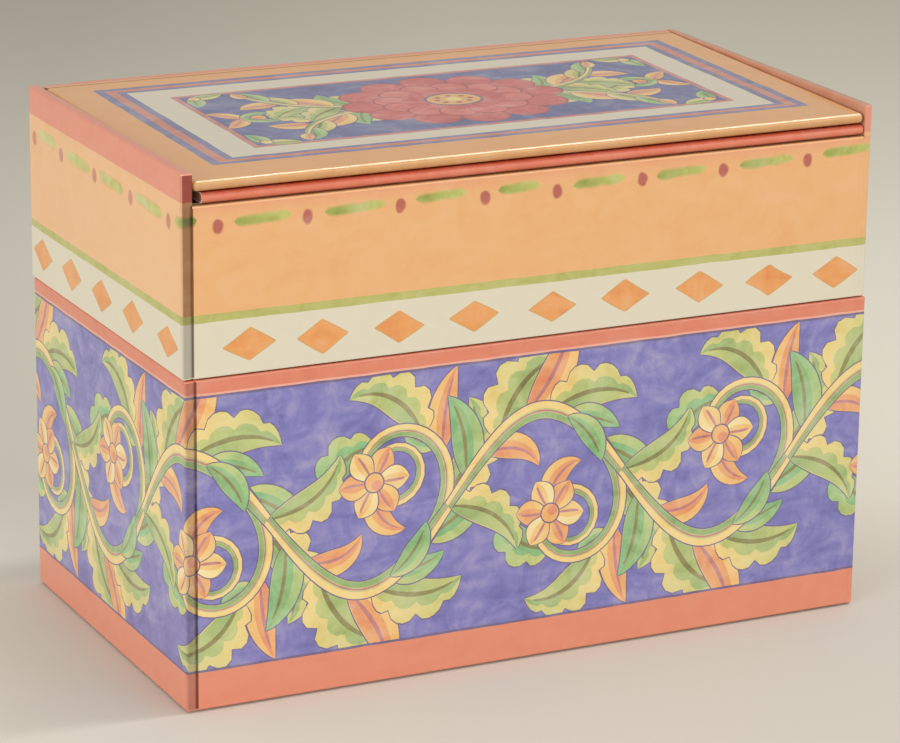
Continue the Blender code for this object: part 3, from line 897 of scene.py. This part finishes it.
# Leaves and berries in the picture's corners and at its ends, from the corner or end inwards
CORNER_LEAVES = ((262, 9, 2.2, 40, LEAF_TONES), (190, 9, 2.2, -40, MINT_TONES))
CORNER_LEAF_PLACE = (4, 3)
CORNER_BERRY = ((4.6, 4), 2.8)
END_LEAVES = ((20, 10, 2.2, 46, BLUSH_TONES), (318, 9, 1.9, -40, MINT_TONES))
END_LEAF_PLACE = 8
END_BERRY = (12, 3.6)


def paint_panel(painting, corner):
    """A striped frame, a cream mount and a generic medallion with leafy sprays, from the box's front left."""
    def frame_box(corners, grow=0.0):
        ring = np.array(rectangle(corners[0] - grow + corner, corners[1] + grow + corner))
        points = []
        for here, there in zip(ring, np.roll(ring, -1, axis=0)):
            count = max(int(np.linalg.norm(there - here) / FRAME_STEP), 1)
            points += [here + (there - here) * step / count for step in range(count)]
        return uneven(points, FRAME_WOBBLE)

    outer, inner, picture = (np.array(box) for box in (PANEL_FRAME, PANEL_MOUNT, PANEL_PICTURE))
    for share, colour in FRAME_STOPS:
        painting.add(frame_box(between(outer, inner, share)), colour)
    for grow, colour in PICTURE_LINES:
        painting.add(frame_box(picture, grow), colour)
    centre, half = corner + picture.sum(axis=0) / 2, (picture[1] - picture[0]) / 2
    for side in (-1, 1):
        for up in (-1, 1):
            motif = Motif(painting, centre, (side, up))
            stem = swept(*PANEL_STEM)
            motif.spray(stem, PANEL_LEAVES)
            motif.vine(stem, np.linspace(*PANEL_STEM_WIDTHS, len(stem)), -1)
            motif.leaf(stem[-1], *STEM_TIP)
            for shape in CORNER_LEAVES:
                motif.leaf(half - CORNER_LEAF_PLACE, *shape)
            motif.berry(half - CORNER_BERRY[0], CORNER_BERRY[1])
            for shape in END_LEAVES:
                motif.leaf((half[0] - END_LEAF_PLACE, 0), *shape)
        place, size = END_BERRY
        Motif(painting, centre, (side, 1)).berry((half[0] - place, 0), size, (APRICOT, CORAL_PETAL))
    paint_medallion(Motif(painting, centre))


MEDALLION_SIZE = (23.0, 17.5)
MEDALLION_PETALS = 12
MEDALLION_LINE = 1.2
PETAL_DEPTH = 0.9
MEDALLION_ROWS = ((1.0, 11.0, 0, MEDALLION_RED), (0.66, 9.0, 0.5, MEDALLION_ROSE))
MEDALLION_HEART = (((26.45, 20.125), 28, MEDALLION_RED), ((15, 12), 20, OUTLINE), ((13.6, 10.6), 20, GOLD))
SEEDS = 8
SEED_RING = (4.4, 3.2)
SEED_SIZE = (1.6, 1.4)
SEED_STEPS = 10
HEART_SIZE = (4.0, 3.2)


def paint_medallion(motif):
    """Two rows of plain round petals about a gold centre, wider than it is deep."""
    def round_place(share, size):
        return math.cos(2 * math.pi * share) * size[0], math.sin(2 * math.pi * share) * size[1]

    for reach, size, turn, colour in MEDALLION_ROWS:
        for step in range(MEDALLION_PETALS):
            centre = round_place((step + turn) / MEDALLION_PETALS, np.array(MEDALLION_SIZE) * reach)
            line = MEDALLION_LINE
            motif.add(oval(centre, size + line, size * PETAL_DEPTH + line), MEDALLION_DARK)
            motif.add(oval(centre, size, size * PETAL_DEPTH), colour)
    for size, steps, colour in MEDALLION_HEART:
        motif.add(oval((0, 0), *size, steps), colour)
    for step in range(SEEDS):
        motif.add(oval(round_place(step / SEEDS, SEED_RING), *SEED_SIZE, SEED_STEPS), MEDALLION_DARK)
    motif.add(oval((0, 0), *HEART_SIZE), BUTTER)


PANEL_LEFT_ROOM = 0.25
PANEL_RIGHT_REACH = 0.5
PANEL_BACK_ROOM = 0.15
LEAF_TURN_IN = 15.0
# Painted shade: the panel's edge colour runs from its top to a darker underside
PANEL_EDGES_PAINTED_SHADE = (ink(224, 170, 106, 0.3), ink(190, 134, 80, 0.3))


def add_panel(surface):
    """The panel's wrap, drawn level with its hinge line: painted top, rounded edges, turned-in border."""
    at = HINGES["panel_hinge"] / MM
    wrap_low, wrap_high = box_mm("panel_wrap")
    length = at.y - wrap_low[1]
    tilt = Matrix.Rotation(math.asin((at.z - (wrap_low[2] + LEAF)) / length), 4, "X")
    low = np.array((wrap_low[0] + PANEL_LEFT_ROOM, -length, -LEAF))
    high = np.array((wrap_high[0] + PANEL_RIGHT_REACH, -PANEL_BACK_ROOM, 0.0))

    def placed(ring, level):
        return [tuple(at + tilt @ Vector((x, y, level))) for x, y in ring]

    painting = Painting(slab_ring(low, high, NOSE_RADIUS, NOSE_CORNER), PANEL_PEACH)
    paint_panel(painting, box_mm("base_wrap")[0][:2] - (0, at.y))
    skin = Skin()
    skin.sheet(painting, lambda x, y: placed([(x, y)], high[2])[0])
    profile = rounded(0, high[2] - NOSE_RADIUS, NOSE_RADIUS, high[2], NOSE_STEPS)[::-1]
    profile += rounded(0, low[2] + NOSE_RADIUS, NOSE_RADIUS, low[2], NOSE_STEPS)
    rows = [placed(slab_ring(low, high, inset, NOSE_CORNER), level) for inset, level in profile]
    # Painted shade: the rounded edge darkens from its top down to the underside
    shares = np.clip([(high[2] - level) / LEAF for _, level in profile], 0, 1)
    skin.strip(rows, [between(*PANEL_EDGES_PAINTED_SHADE, share) for share in shares], closed=True)
    turn_in = (LEAF_TURN_IN, LEAF_TURN_IN, 0)
    rows = [rows[-1], placed(slab_ring(low + turn_in, high - turn_in, 0, SHARP_CORNER), low[2])]
    skin.strip(rows, coloured(rows, PANEL_EDGES_PAINTED_SHADE[1]), closed=True)
    return skin.finish("panel_wrap_print", "top_panel", surface, ("panel_wrap",))


DECK_ROLL = 1.2
DECK_PAPER = 0.32
DECK_RECESS = 0.12
DECK_RIGHT_END = 0.3
# Colours round the deck's roll from its underside over its front to its top: partly its two-tone coral, partly
# painted shade darkest underneath
ROLL_PAINTED_SHADING = (ink(170, 74, 56, 0.4), ink(222, 118, 84, 0.3), ink(196, 66, 36, 0.4))


def deck_section(low, high, inset):
    """The deck's outline seen from its end, from the turned-in edge at the front over the top."""
    front, back = low[1] + inset, high[1] - inset
    foot, top = low[2] + inset, high[2] - inset
    roll = DECK_ROLL - inset
    points = [(low[1] + LEAF_TURN_IN, foot)]
    for angle in np.linspace(0, math.pi, 2 * NOSE_STEPS + 1):
        lift = (foot + top) / 2 - ((top - foot) / 2) * math.cos(angle)
        points.append((front + roll * (1 - math.sin(angle)), lift))
    return points + [(back, top), (back, foot), (high[1] - LEAF_TURN_IN, foot)]


def add_deck(surface):
    """The fixed leaf: its front edge is a wrapped roll, and its left end is cut off square."""
    low, high = box_mm("deck_wrap")
    high = high + (PANEL_RIGHT_REACH, 0, 0)
    outer, inner = deck_section(low, high, 0), deck_section(low, high, DECK_PAPER)
    tints = [CORAL] * len(outer)
    # Painted shade round the roll: each step of its rounded edge takes a colour for the way it faces
    for step, share in enumerate(np.linspace(0, 2, 2 * NOSE_STEPS + 1)):
        tints[step + 1] = np.array([np.interp(share, range(3), tone) for tone in zip(*ROLL_PAINTED_SHADING)])
    skin = Skin()
    stations = (low[0], low[0] + LEAF_TURN_IN, high[0] - LEAF_TURN_IN, high[0] - DECK_RIGHT_END, high[0])
    skin.strip([[(x, y, z) for x in stations] for y, z in outer], tints)
    for border in (stations[:2], stations[2:]):
        rows = [[(x, *place) for x in border] for place in (outer[-1], outer[0])]
        skin.strip(rows, coloured(rows, CORAL))
    rings = [[(x, *place) for place in section]
             for x, section in ((low[0], outer), (low[0], inner), (low[0] + DECK_RECESS, inner))]
    skin.strip(rings, (PAPER_WHITE, PAPER_WHITE, RAW_BOARD_WITH_PAINTED_LIGHT), closed=True)
    skin.cap(rings[-1], RAW_BOARD_WITH_PAINTED_LIGHT)
    skin.cap([(high[0], *place) for place in outer], CORAL)
    return skin.finish("deck_wrap_print", "cover", surface, ("deck_wrap",))


# Hinge folds, cards and the rest

FOLD_STEPS = 17
BACK_FOLD_REACH = 1.6
BACK_FOLD_OUT = 0.06
BACK_FOLD_ROOM = (0.6, 1.1)
PANEL_FOLD_REACH = 1.4
PANEL_FOLD_UP = 0.03
PANEL_FOLD_ROOM = 0.4


def add_fold(name, rows, colours, surface):
    skin = Skin()
    skin.strip(rows, colours)
    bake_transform(skin.finish(name, None, surface))


def add_folds(surface):
    """The paper over each hinge, as a strip across it."""
    low, high = box_mm("base_wrap")
    left, right, back = low[0] + BACK_FOLD_ROOM[0], high[0] - BACK_FOLD_ROOM[1], high[1] + BACK_FOLD_OUT
    levels = np.linspace(STRIPE_TOP - BACK_FOLD_REACH, STRIPE_TOP + BACK_FOLD_REACH, FOLD_STEPS)
    rows = [[(left, back, level), (right, back, level)] for level in levels]
    colours = [CORAL if level < STRIPE_TOP else CREAM_INK for level in levels]
    add_fold("back_hinge_fold", rows, colours,
             surface)
    at = HINGES["panel_hinge"]
    low, high = box_mm("panel_wrap")
    left, right, level = low[0] + PANEL_FOLD_ROOM, high[0] - PANEL_FOLD_ROOM, at.z / MM + PANEL_FOLD_UP
    depths = np.linspace(at.y / MM - PANEL_FOLD_REACH, at.y / MM + PANEL_FOLD_REACH, FOLD_STEPS)
    rows = [[(left, depth, level), (right, depth, level)] for depth in depths]
    colours = [PANEL_PEACH if depth < at.y / MM else CORAL for depth in depths]
    add_fold("panel_hinge_fold", rows, colours,
             surface)


PACKETS = 6
CARDS_IN_PACKET = 18
CARD_LEAN = math.radians(7)
CARD_SHARE = 0.8
CARD_ROOM = 0.4
CARD_TOP_ROOM = 0.5
CARD_CORNER = 1.2
CARD_SLIP = 0.7
CARD_RISE = 0.5
CARD_TINT = 0.12
SEED_STEP = 3.7
SEED_SHIFT = 9


def add_card_stacks(surface):
    """Each packet as its single cards, standing a little unevenly."""
    tilt = Matrix.Rotation(-CARD_LEAN, 4, "X")
    for index in range(1, PACKETS + 1):
        low, high = box_mm(f"card_packet_{index}")
        tall = (high[2] - low[2]) / math.cos(CARD_LEAN)
        foot = high[1] - tall * math.sin(CARD_LEAN)
        pitch = (foot - low[1]) / math.cos(CARD_LEAN) / CARDS_IN_PACKET
        place = Vector(((low[0] + high[0]) / 2, foot, low[2]))
        half, top = (high[0] - low[0]) / 2 - CARD_ROOM, tall - CARD_ROOM - CARD_TOP_ROOM
        skin = Skin()
        for card in range(CARDS_IN_PACKET):
            seed = Vector((index, card, 1 / 2)) * SEED_STEP
            slip = noise.noise(seed) * CARD_SLIP
            rise = abs(noise.noise(seed + Vector((SEED_SHIFT, 0, 0)))) * CARD_RISE
            shade = 1 + CARD_TINT * noise.noise(seed + Vector((0, SEED_SHIFT, 0)))
            colour = CARD_WHITE * (shade, shade, shade, 1)
            ring = slab_ring((slip - half, rise), (slip + half, top + rise), 0, CARD_CORNER, 2)
            rows = [[tuple(place + tilt @ Vector((x, y, z))) for x, z in ring]
                    for y in (-card * pitch, -(card + CARD_SHARE) * pitch)]
            skin.strip(rows, coloured(rows, colour), closed=True)
            for row in rows:
                skin.cap(row, colour)
        skin.finish(f"card_stack_{index}", "base", surface, (f"card_packet_{index}",))


# Materials

class Nodes:
    """Short forms for building a node tree, in a new material where none is given."""

    def __init__(self, name, tree=None):
        if not tree:
            self.material = bpy.data.materials.new(name)
            self.material.use_nodes = True
            tree = self.material.node_tree
            self.shader = tree.nodes["Principled BSDF"]
        self.tree = tree

    def put(self, node, **inputs):
        """Sets a node's inputs, or links them: i0 is the first socket, and other names are labels."""
        for label, value in inputs.items():
            socket = node.inputs[int(label[1:]) if label[1:].isdigit() else label.replace("_", " ")]
            if isinstance(value, bpy.types.NodeSocket):
                self.tree.links.new(value, socket)
            else:
                socket.default_value = value
        return node

    def add(self, kind, **inputs):
        return self.put(self.tree.nodes.new(kind), **inputs)

    def attribute(self, label):
        node = self.add("ShaderNodeAttribute")
        node.attribute_name = label
        return node

    def mixed(self, share, first, second):
        node = self.add("ShaderNodeMix")
        node.data_type = "RGBA"
        return self.put(node, i0=share, i6=first, i7=second).outputs[2]

    def math(self, operation, first, second, kind="ShaderNodeMath"):
        node = self.add(kind, i0=first, i1=second)
        node.operation = operation
        return node.outputs[0]

    def times(self, first, second):
        return self.math("MULTIPLY", first, second)

    def plus(self, first, second):
        return self.math("ADD", first, second)

    def clamped(self, value, low, high):
        return self.math("MINIMUM", self.math("MAXIMUM", value, low), high)

    def scaled(self, colour, factor):
        node = self.add("ShaderNodeVectorMath")
        node.operation = "SCALE"
        return self.put(node, i0=colour, Scale=factor).outputs[0]

    def noise(self, scale, detail=4, stretch=(1, 1, 1), distortion=0.0, rough=0.55):
        coords = self.add("ShaderNodeTexCoord").outputs["Object"]
        mapping = self.add("ShaderNodeMapping", Vector=coords, Scale=stretch)
        node = self.add("ShaderNodeTexNoise", Vector=mapping.outputs[0], Scale=scale, Detail=detail,
                        Roughness=rough, Distortion=distortion)
        return node.outputs["Fac"]

    def finished(self, colour, height, strength, distance, **look):
        """Gives the shader its colour, relief and other values."""
        bump = self.add("ShaderNodeBump", Height=height, Strength=strength, Distance=distance)
        self.put(self.shader, Base_Color=colour, Normal=bump.outputs[0], **look)
        return self.material


# The wash on printed paper: noise scales and shares, how strongly it swings, pools and thins
WASH_SCALES = (105, 62, 900)
WASH_SHARES = (0.55, 0.35, 0.1)
WASH_SWING = 3.4
POOLING = -1.1
THINNING = 0.42

# Where the print is rubbed off along worn edges
RUB_SCALE = 420
RUB_SHARE = 0.5
RUB_START = 1.08
RUB_SHARPNESS = 9.0
MOST_RUBBED = 0.7

# The relief of laminated paper: slow waves with a fine grain
WAVE_SCALE = 35
GRAIN_SCALE = 1400
GRAIN_SHARE = 0.06
WAVE_RELIEF = (0.25, 0.0006)
PRINT_GLOSS = (0.5, 0.1)
CORAL_GLOSS = (0.4, 0.14)
LAMINATE = {"Specular_IOR_Level": 0.45, "Coat_Weight": 1.0}

# Uncoated paper and board: fibres and slow clouds
FIBRE_SCALE = 700
FIBRE_SHARE = 0.7
CLOUD_SCALE = 40
CLOUD_SHARE = 0.3
FIBRE_RELIEF = (0.3, 0.0001)
CARD_FIBRE_SCALE = 800
CARD_FLECK = 0.16
CARD_ROUGHNESS = 0.75


def printed_paper(name, roughness, coat_roughness):
    """Gloss-laminated print: paint thinned and pooled as in a wash, on wavy paper worn at its edges."""
    nodes = Nodes(name)
    paint = nodes.attribute("paint")
    ink_colour, white = paint.outputs["Color"], opaque(PAPER_WHITE)
    wash = nodes.noise(WASH_SCALES[0], 5, distortion=1.6)
    brush = nodes.noise(WASH_SCALES[1], 4, (1, 1, 3.2), distortion=0.9)
    fine = nodes.noise(WASH_SCALES[2], 3)
    mixed = nodes.plus(nodes.times(wash, WASH_SHARES[0]), nodes.times(brush, WASH_SHARES[1]))
    mixed = nodes.plus(mixed, nodes.times(fine, WASH_SHARES[2]))
    swing = nodes.times(nodes.plus(mixed, -1 / 2), WASH_SWING)
    swing = nodes.times(swing, paint.outputs["Alpha"])
    pooled = nodes.times(nodes.math("MINIMUM", swing, 0.0), POOLING)
    thinned = nodes.times(nodes.math("MAXIMUM", swing, 0.0), THINNING)
    twice = nodes.math("MULTIPLY", ink_colour, ink_colour, "ShaderNodeVectorMath")
    colour = nodes.mixed(thinned, nodes.mixed(pooled, ink_colour, twice), white)
    rubbed = nodes.times(nodes.attribute("worn").outputs["Fac"], RUB_SHARE)
    rubbed = nodes.plus(nodes.plus(rubbed, nodes.noise(RUB_SCALE, 5, rough=0.7)), -RUB_START)
    rubbed = nodes.clamped(nodes.times(rubbed, RUB_SHARPNESS), 0.0, MOST_RUBBED)
    waves = nodes.plus(nodes.noise(WAVE_SCALE, 2), nodes.times(nodes.noise(GRAIN_SCALE, 2), GRAIN_SHARE))
    return nodes.finished(nodes.mixed(rubbed, colour, white), waves, *WAVE_RELIEF, Roughness=roughness,
                          Coat_Roughness=coat_roughness, **LAMINATE)


def plain_paper(name, colour, roughness, fleck):
    """Uncoated paper or board with fibres and a slight unevenness."""
    nodes = Nodes(name)
    fibres = nodes.noise(FIBRE_SCALE, 6, (1, 1, 2.5), rough=0.7)
    cloud = nodes.noise(CLOUD_SCALE, 3)
    mixed = nodes.plus(nodes.times(fibres, FIBRE_SHARE), nodes.times(cloud, CLOUD_SHARE))
    factor = nodes.plus(nodes.times(nodes.plus(mixed, -1 / 2), 2 * fleck), 1.0)
    tint = nodes.add("ShaderNodeRGB")
    tint.outputs[0].default_value = opaque(colour)
    return nodes.finished(nodes.scaled(tint.outputs[0], factor), fibres, *FIBRE_RELIEF, Roughness=roughness)


def painted_card(name):
    """Card that takes its colour from its own paint, with paper fibres."""
    nodes = Nodes(name)
    fibres = nodes.noise(CARD_FIBRE_SCALE, 5, (1, 1, 2.0))
    factor = nodes.plus(nodes.times(nodes.plus(fibres, -1 / 2), CARD_FLECK), 1.0)
    colour = nodes.scaled(nodes.attribute("paint").outputs["Color"], factor)
    return nodes.finished(colour, fibres, *FIBRE_RELIEF, Roughness=CARD_ROUGHNESS)


# Colour, roughness and fleck of the plain papers, and the slots that take them
PLAIN_LOOKS = {
    "greyboard_look": (ink(150, 128, 104), 0.9, 0.3),
    "lining_look": (ink(232, 222, 196), 0.8, 0.1),
    "hinge_paper_look": (ink(214, 128, 100), 0.6, 0.12),
    "flap_look": (CORAL, 0.4, 0.06),
}
DIVIDER_TINTS = (
    ink(222, 130, 104), ink(236, 184, 128), ink(178, 186, 104), ink(132, 128, 186), ink(226, 176, 156),
    ink(158, 184, 160),
)
for number, colour in enumerate(DIVIDER_TINTS):
    PLAIN_LOOKS[f"divider_look_{number + 1}"] = (colour, 0.65, 0.12)
SLOT_LOOKS = {
    "greyboard": "greyboard_look", "lining_paper": "lining_look", "foot_paper": "lining_look",
    "card_stock": "lining_look", "hinge_paper": "hinge_paper_look", "coral_paper": "hinge_paper_look",
    "panel_print": "flap_look", "cover_print": "flap_look", "base_print": "flap_look",
}


def dress_nodes():
    """Better materials on the CAD nodes that stay."""
    looks = {name: plain_paper(name, *look) for name, look in PLAIN_LOOKS.items()}
    slots = {row["node"]: row["material_slot"] for row in frame["record"]["subparts"]}
    for name, node in frame["nodes"].items():
        slot = slots[name]
        for place in node.material_slots:
            place.material = looks[SLOT_LOOKS.get(slot, slot.replace("tint", "look"))]


# Stage, light and camera

# Floor colours from near to far; the darker far one is a painted falloff of light
FLOOR_NEAR = ink(219, 213, 203)
FLOOR_MIDDLE = ink(218, 214, 201)
FLOOR_FAR = ink(184, 180, 165)


FLOOR_REACH = 6.0
FLOOR_STOPS = ((0.1, FLOOR_NEAR), (0.4, FLOOR_MIDDLE), (0.95, FLOOR_FAR))
FLOOR_ROUGHNESS = 0.7

# Painted light and shade on the floor: slopes and starts of its ramp, of its swing to the side, and of that
# swing's limit
RAMP_LINE = (0.9, 0.2)
GAIN_LINE = (20.0, -0.4)
GAIN_LIMITS = (-0.4, 1.2)
RIGHT_LINE = (-0.45, 0.2)
RIGHT_LIMITS = (0.0, 0.14)
LEFT_LIMIT = -0.16


def add_stage():
    """A pale floor with painted light and shade: lighter a little more to the right and falling off into the
    distance.
    """
    mesh = bpy.data.meshes.new("studio_floor")
    corners = [(x * FLOOR_REACH, y * FLOOR_REACH, 0) for x, y in ((-1, -1), (1, -1), (1, 1), (-1, 1))]
    mesh.from_pydata(corners, [], [(0, 1, 2, 3)])
    nodes = Nodes("studio_paper")
    coords = nodes.add("ShaderNodeTexCoord").outputs["Object"]
    split = nodes.add("ShaderNodeSeparateXYZ", Vector=coords)
    across, deep = split.outputs["X"], split.outputs["Y"]
    sine, cosine = math.sin(CAMERA_YAW), math.cos(CAMERA_YAW)
    away = nodes.plus(nodes.times(across, sine), nodes.times(deep, cosine))
    side = nodes.math("SUBTRACT", nodes.times(across, cosine), nodes.times(deep, sine))

    def line(slope, start):
        return nodes.plus(nodes.times(away, slope), start)

    ramp = nodes.add("ShaderNodeValToRGB", i0=line(*RAMP_LINE))
    ramp.color_ramp.interpolation = "EASE"
    stops = ramp.color_ramp.elements
    stops.new(FLOOR_STOPS[1][0])
    for stop, (place, colour) in zip(stops, FLOOR_STOPS):
        stop.position = place
        stop.color = opaque(colour)
    gain = nodes.clamped(line(*GAIN_LINE), *GAIN_LIMITS)
    side = nodes.clamped(side, LEFT_LIMIT, nodes.clamped(line(*RIGHT_LINE), *RIGHT_LIMITS))
    colour = nodes.scaled(ramp.outputs[0], nodes.plus(nodes.times(side, gain), 1.0))
    nodes.put(nodes.shader, Base_Color=colour, Roughness=FLOOR_ROUGHNESS)
    mesh.materials.append(nodes.material)
    linked("studio_floor", mesh)


WORLD_LIGHT = ink(250, 246, 240)
WORLD_SEEN = ink(172, 168, 158)
WORLD_STRENGTH = 0.74

# Each lamp's place and target in metres, its sides and its power
LAMPS = {
    "left_softbox": ((-1.9, -0.9, 0.45), (0, 0, 0.06), (1.2, 0.7), 19),
    "front_softbox": ((0.9, -1.9, 0.6), (0, 0, 0.06), (1.4, 0.9), 8),
    "upper_softbox": ((0.75, -0.15, 1.75), (0, 0, 0.1), (1.1, 0.16), 8),
}


def add_lights():
    """Even studio light, a backdrop that gloss mirrors, and three soft boxes, their long sides across."""
    world = bpy.data.worlds.new("studio_world")
    bpy.context.scene.world = world
    world.use_nodes = True
    nodes = Nodes("studio_world", world.node_tree)
    lit = nodes.put(nodes.tree.nodes["Background"], Color=opaque(WORLD_LIGHT), Strength=WORLD_STRENGTH)
    seen = nodes.add("ShaderNodeBackground", Color=opaque(WORLD_SEEN))
    path = nodes.add("ShaderNodeLightPath").outputs
    either = nodes.math("MAXIMUM", path["Is Camera Ray"], path["Is Glossy Ray"])
    blend = nodes.add("ShaderNodeMixShader", i0=either, i1=lit.outputs[0], i2=seen.outputs[0])
    nodes.put(nodes.tree.nodes["World Output"], Surface=blend.outputs[0])
    for name, (place, target, sides, power) in LAMPS.items():
        data = bpy.data.lights.new(name, "AREA")
        data.shape = "RECTANGLE"
        data.size, data.size_y = sides
        data.energy = power
        back = (Vector(place) - Vector(target)).normalized()
        along = (Vector((1, 0, 0)) - back * back.x).normalized()
        lamp = linked(name, data)
        lamp.location = place
        lamp.rotation_euler = Matrix((along, back.cross(along), back)).transposed().to_euler()


def add_camera():
    data = bpy.data.cameras.new("photo_camera")
    data.lens = CAMERA_LENS
    data.sensor_width = CAMERA_SENSOR
    data.clip_end = CAMERA_REACH
    camera = linked("photo_camera", data)
    turn = Matrix.Rotation(-CAMERA_YAW, 4, "Z") @ Matrix.Rotation(math.pi / 2 - CAMERA_DIP, 4, "X")
    turn @= Matrix.Rotation(CAMERA_ROLL, 4, "Z")
    camera.matrix_world = Matrix.Translation(Vector(CAMERA_PLACE) * MM) @ turn
    bpy.context.scene.camera = camera


def build():
    print_surface = printed_paper("laminated_print", *PRINT_GLOSS)
    coral_surface = printed_paper("laminated_coral", *CORAL_GLOSS)
    add_base_wrap(print_surface)
    add_cover_wrap(print_surface)
    add_panel(print_surface)
    add_deck(coral_surface)
    add_folds(print_surface)
    add_card_stacks(painted_card("card_look"))
    dress_nodes()
    add_stage()
    add_lights()
    add_camera()
    bpy.context.scene.view_settings.view_transform = "Standard"


build()
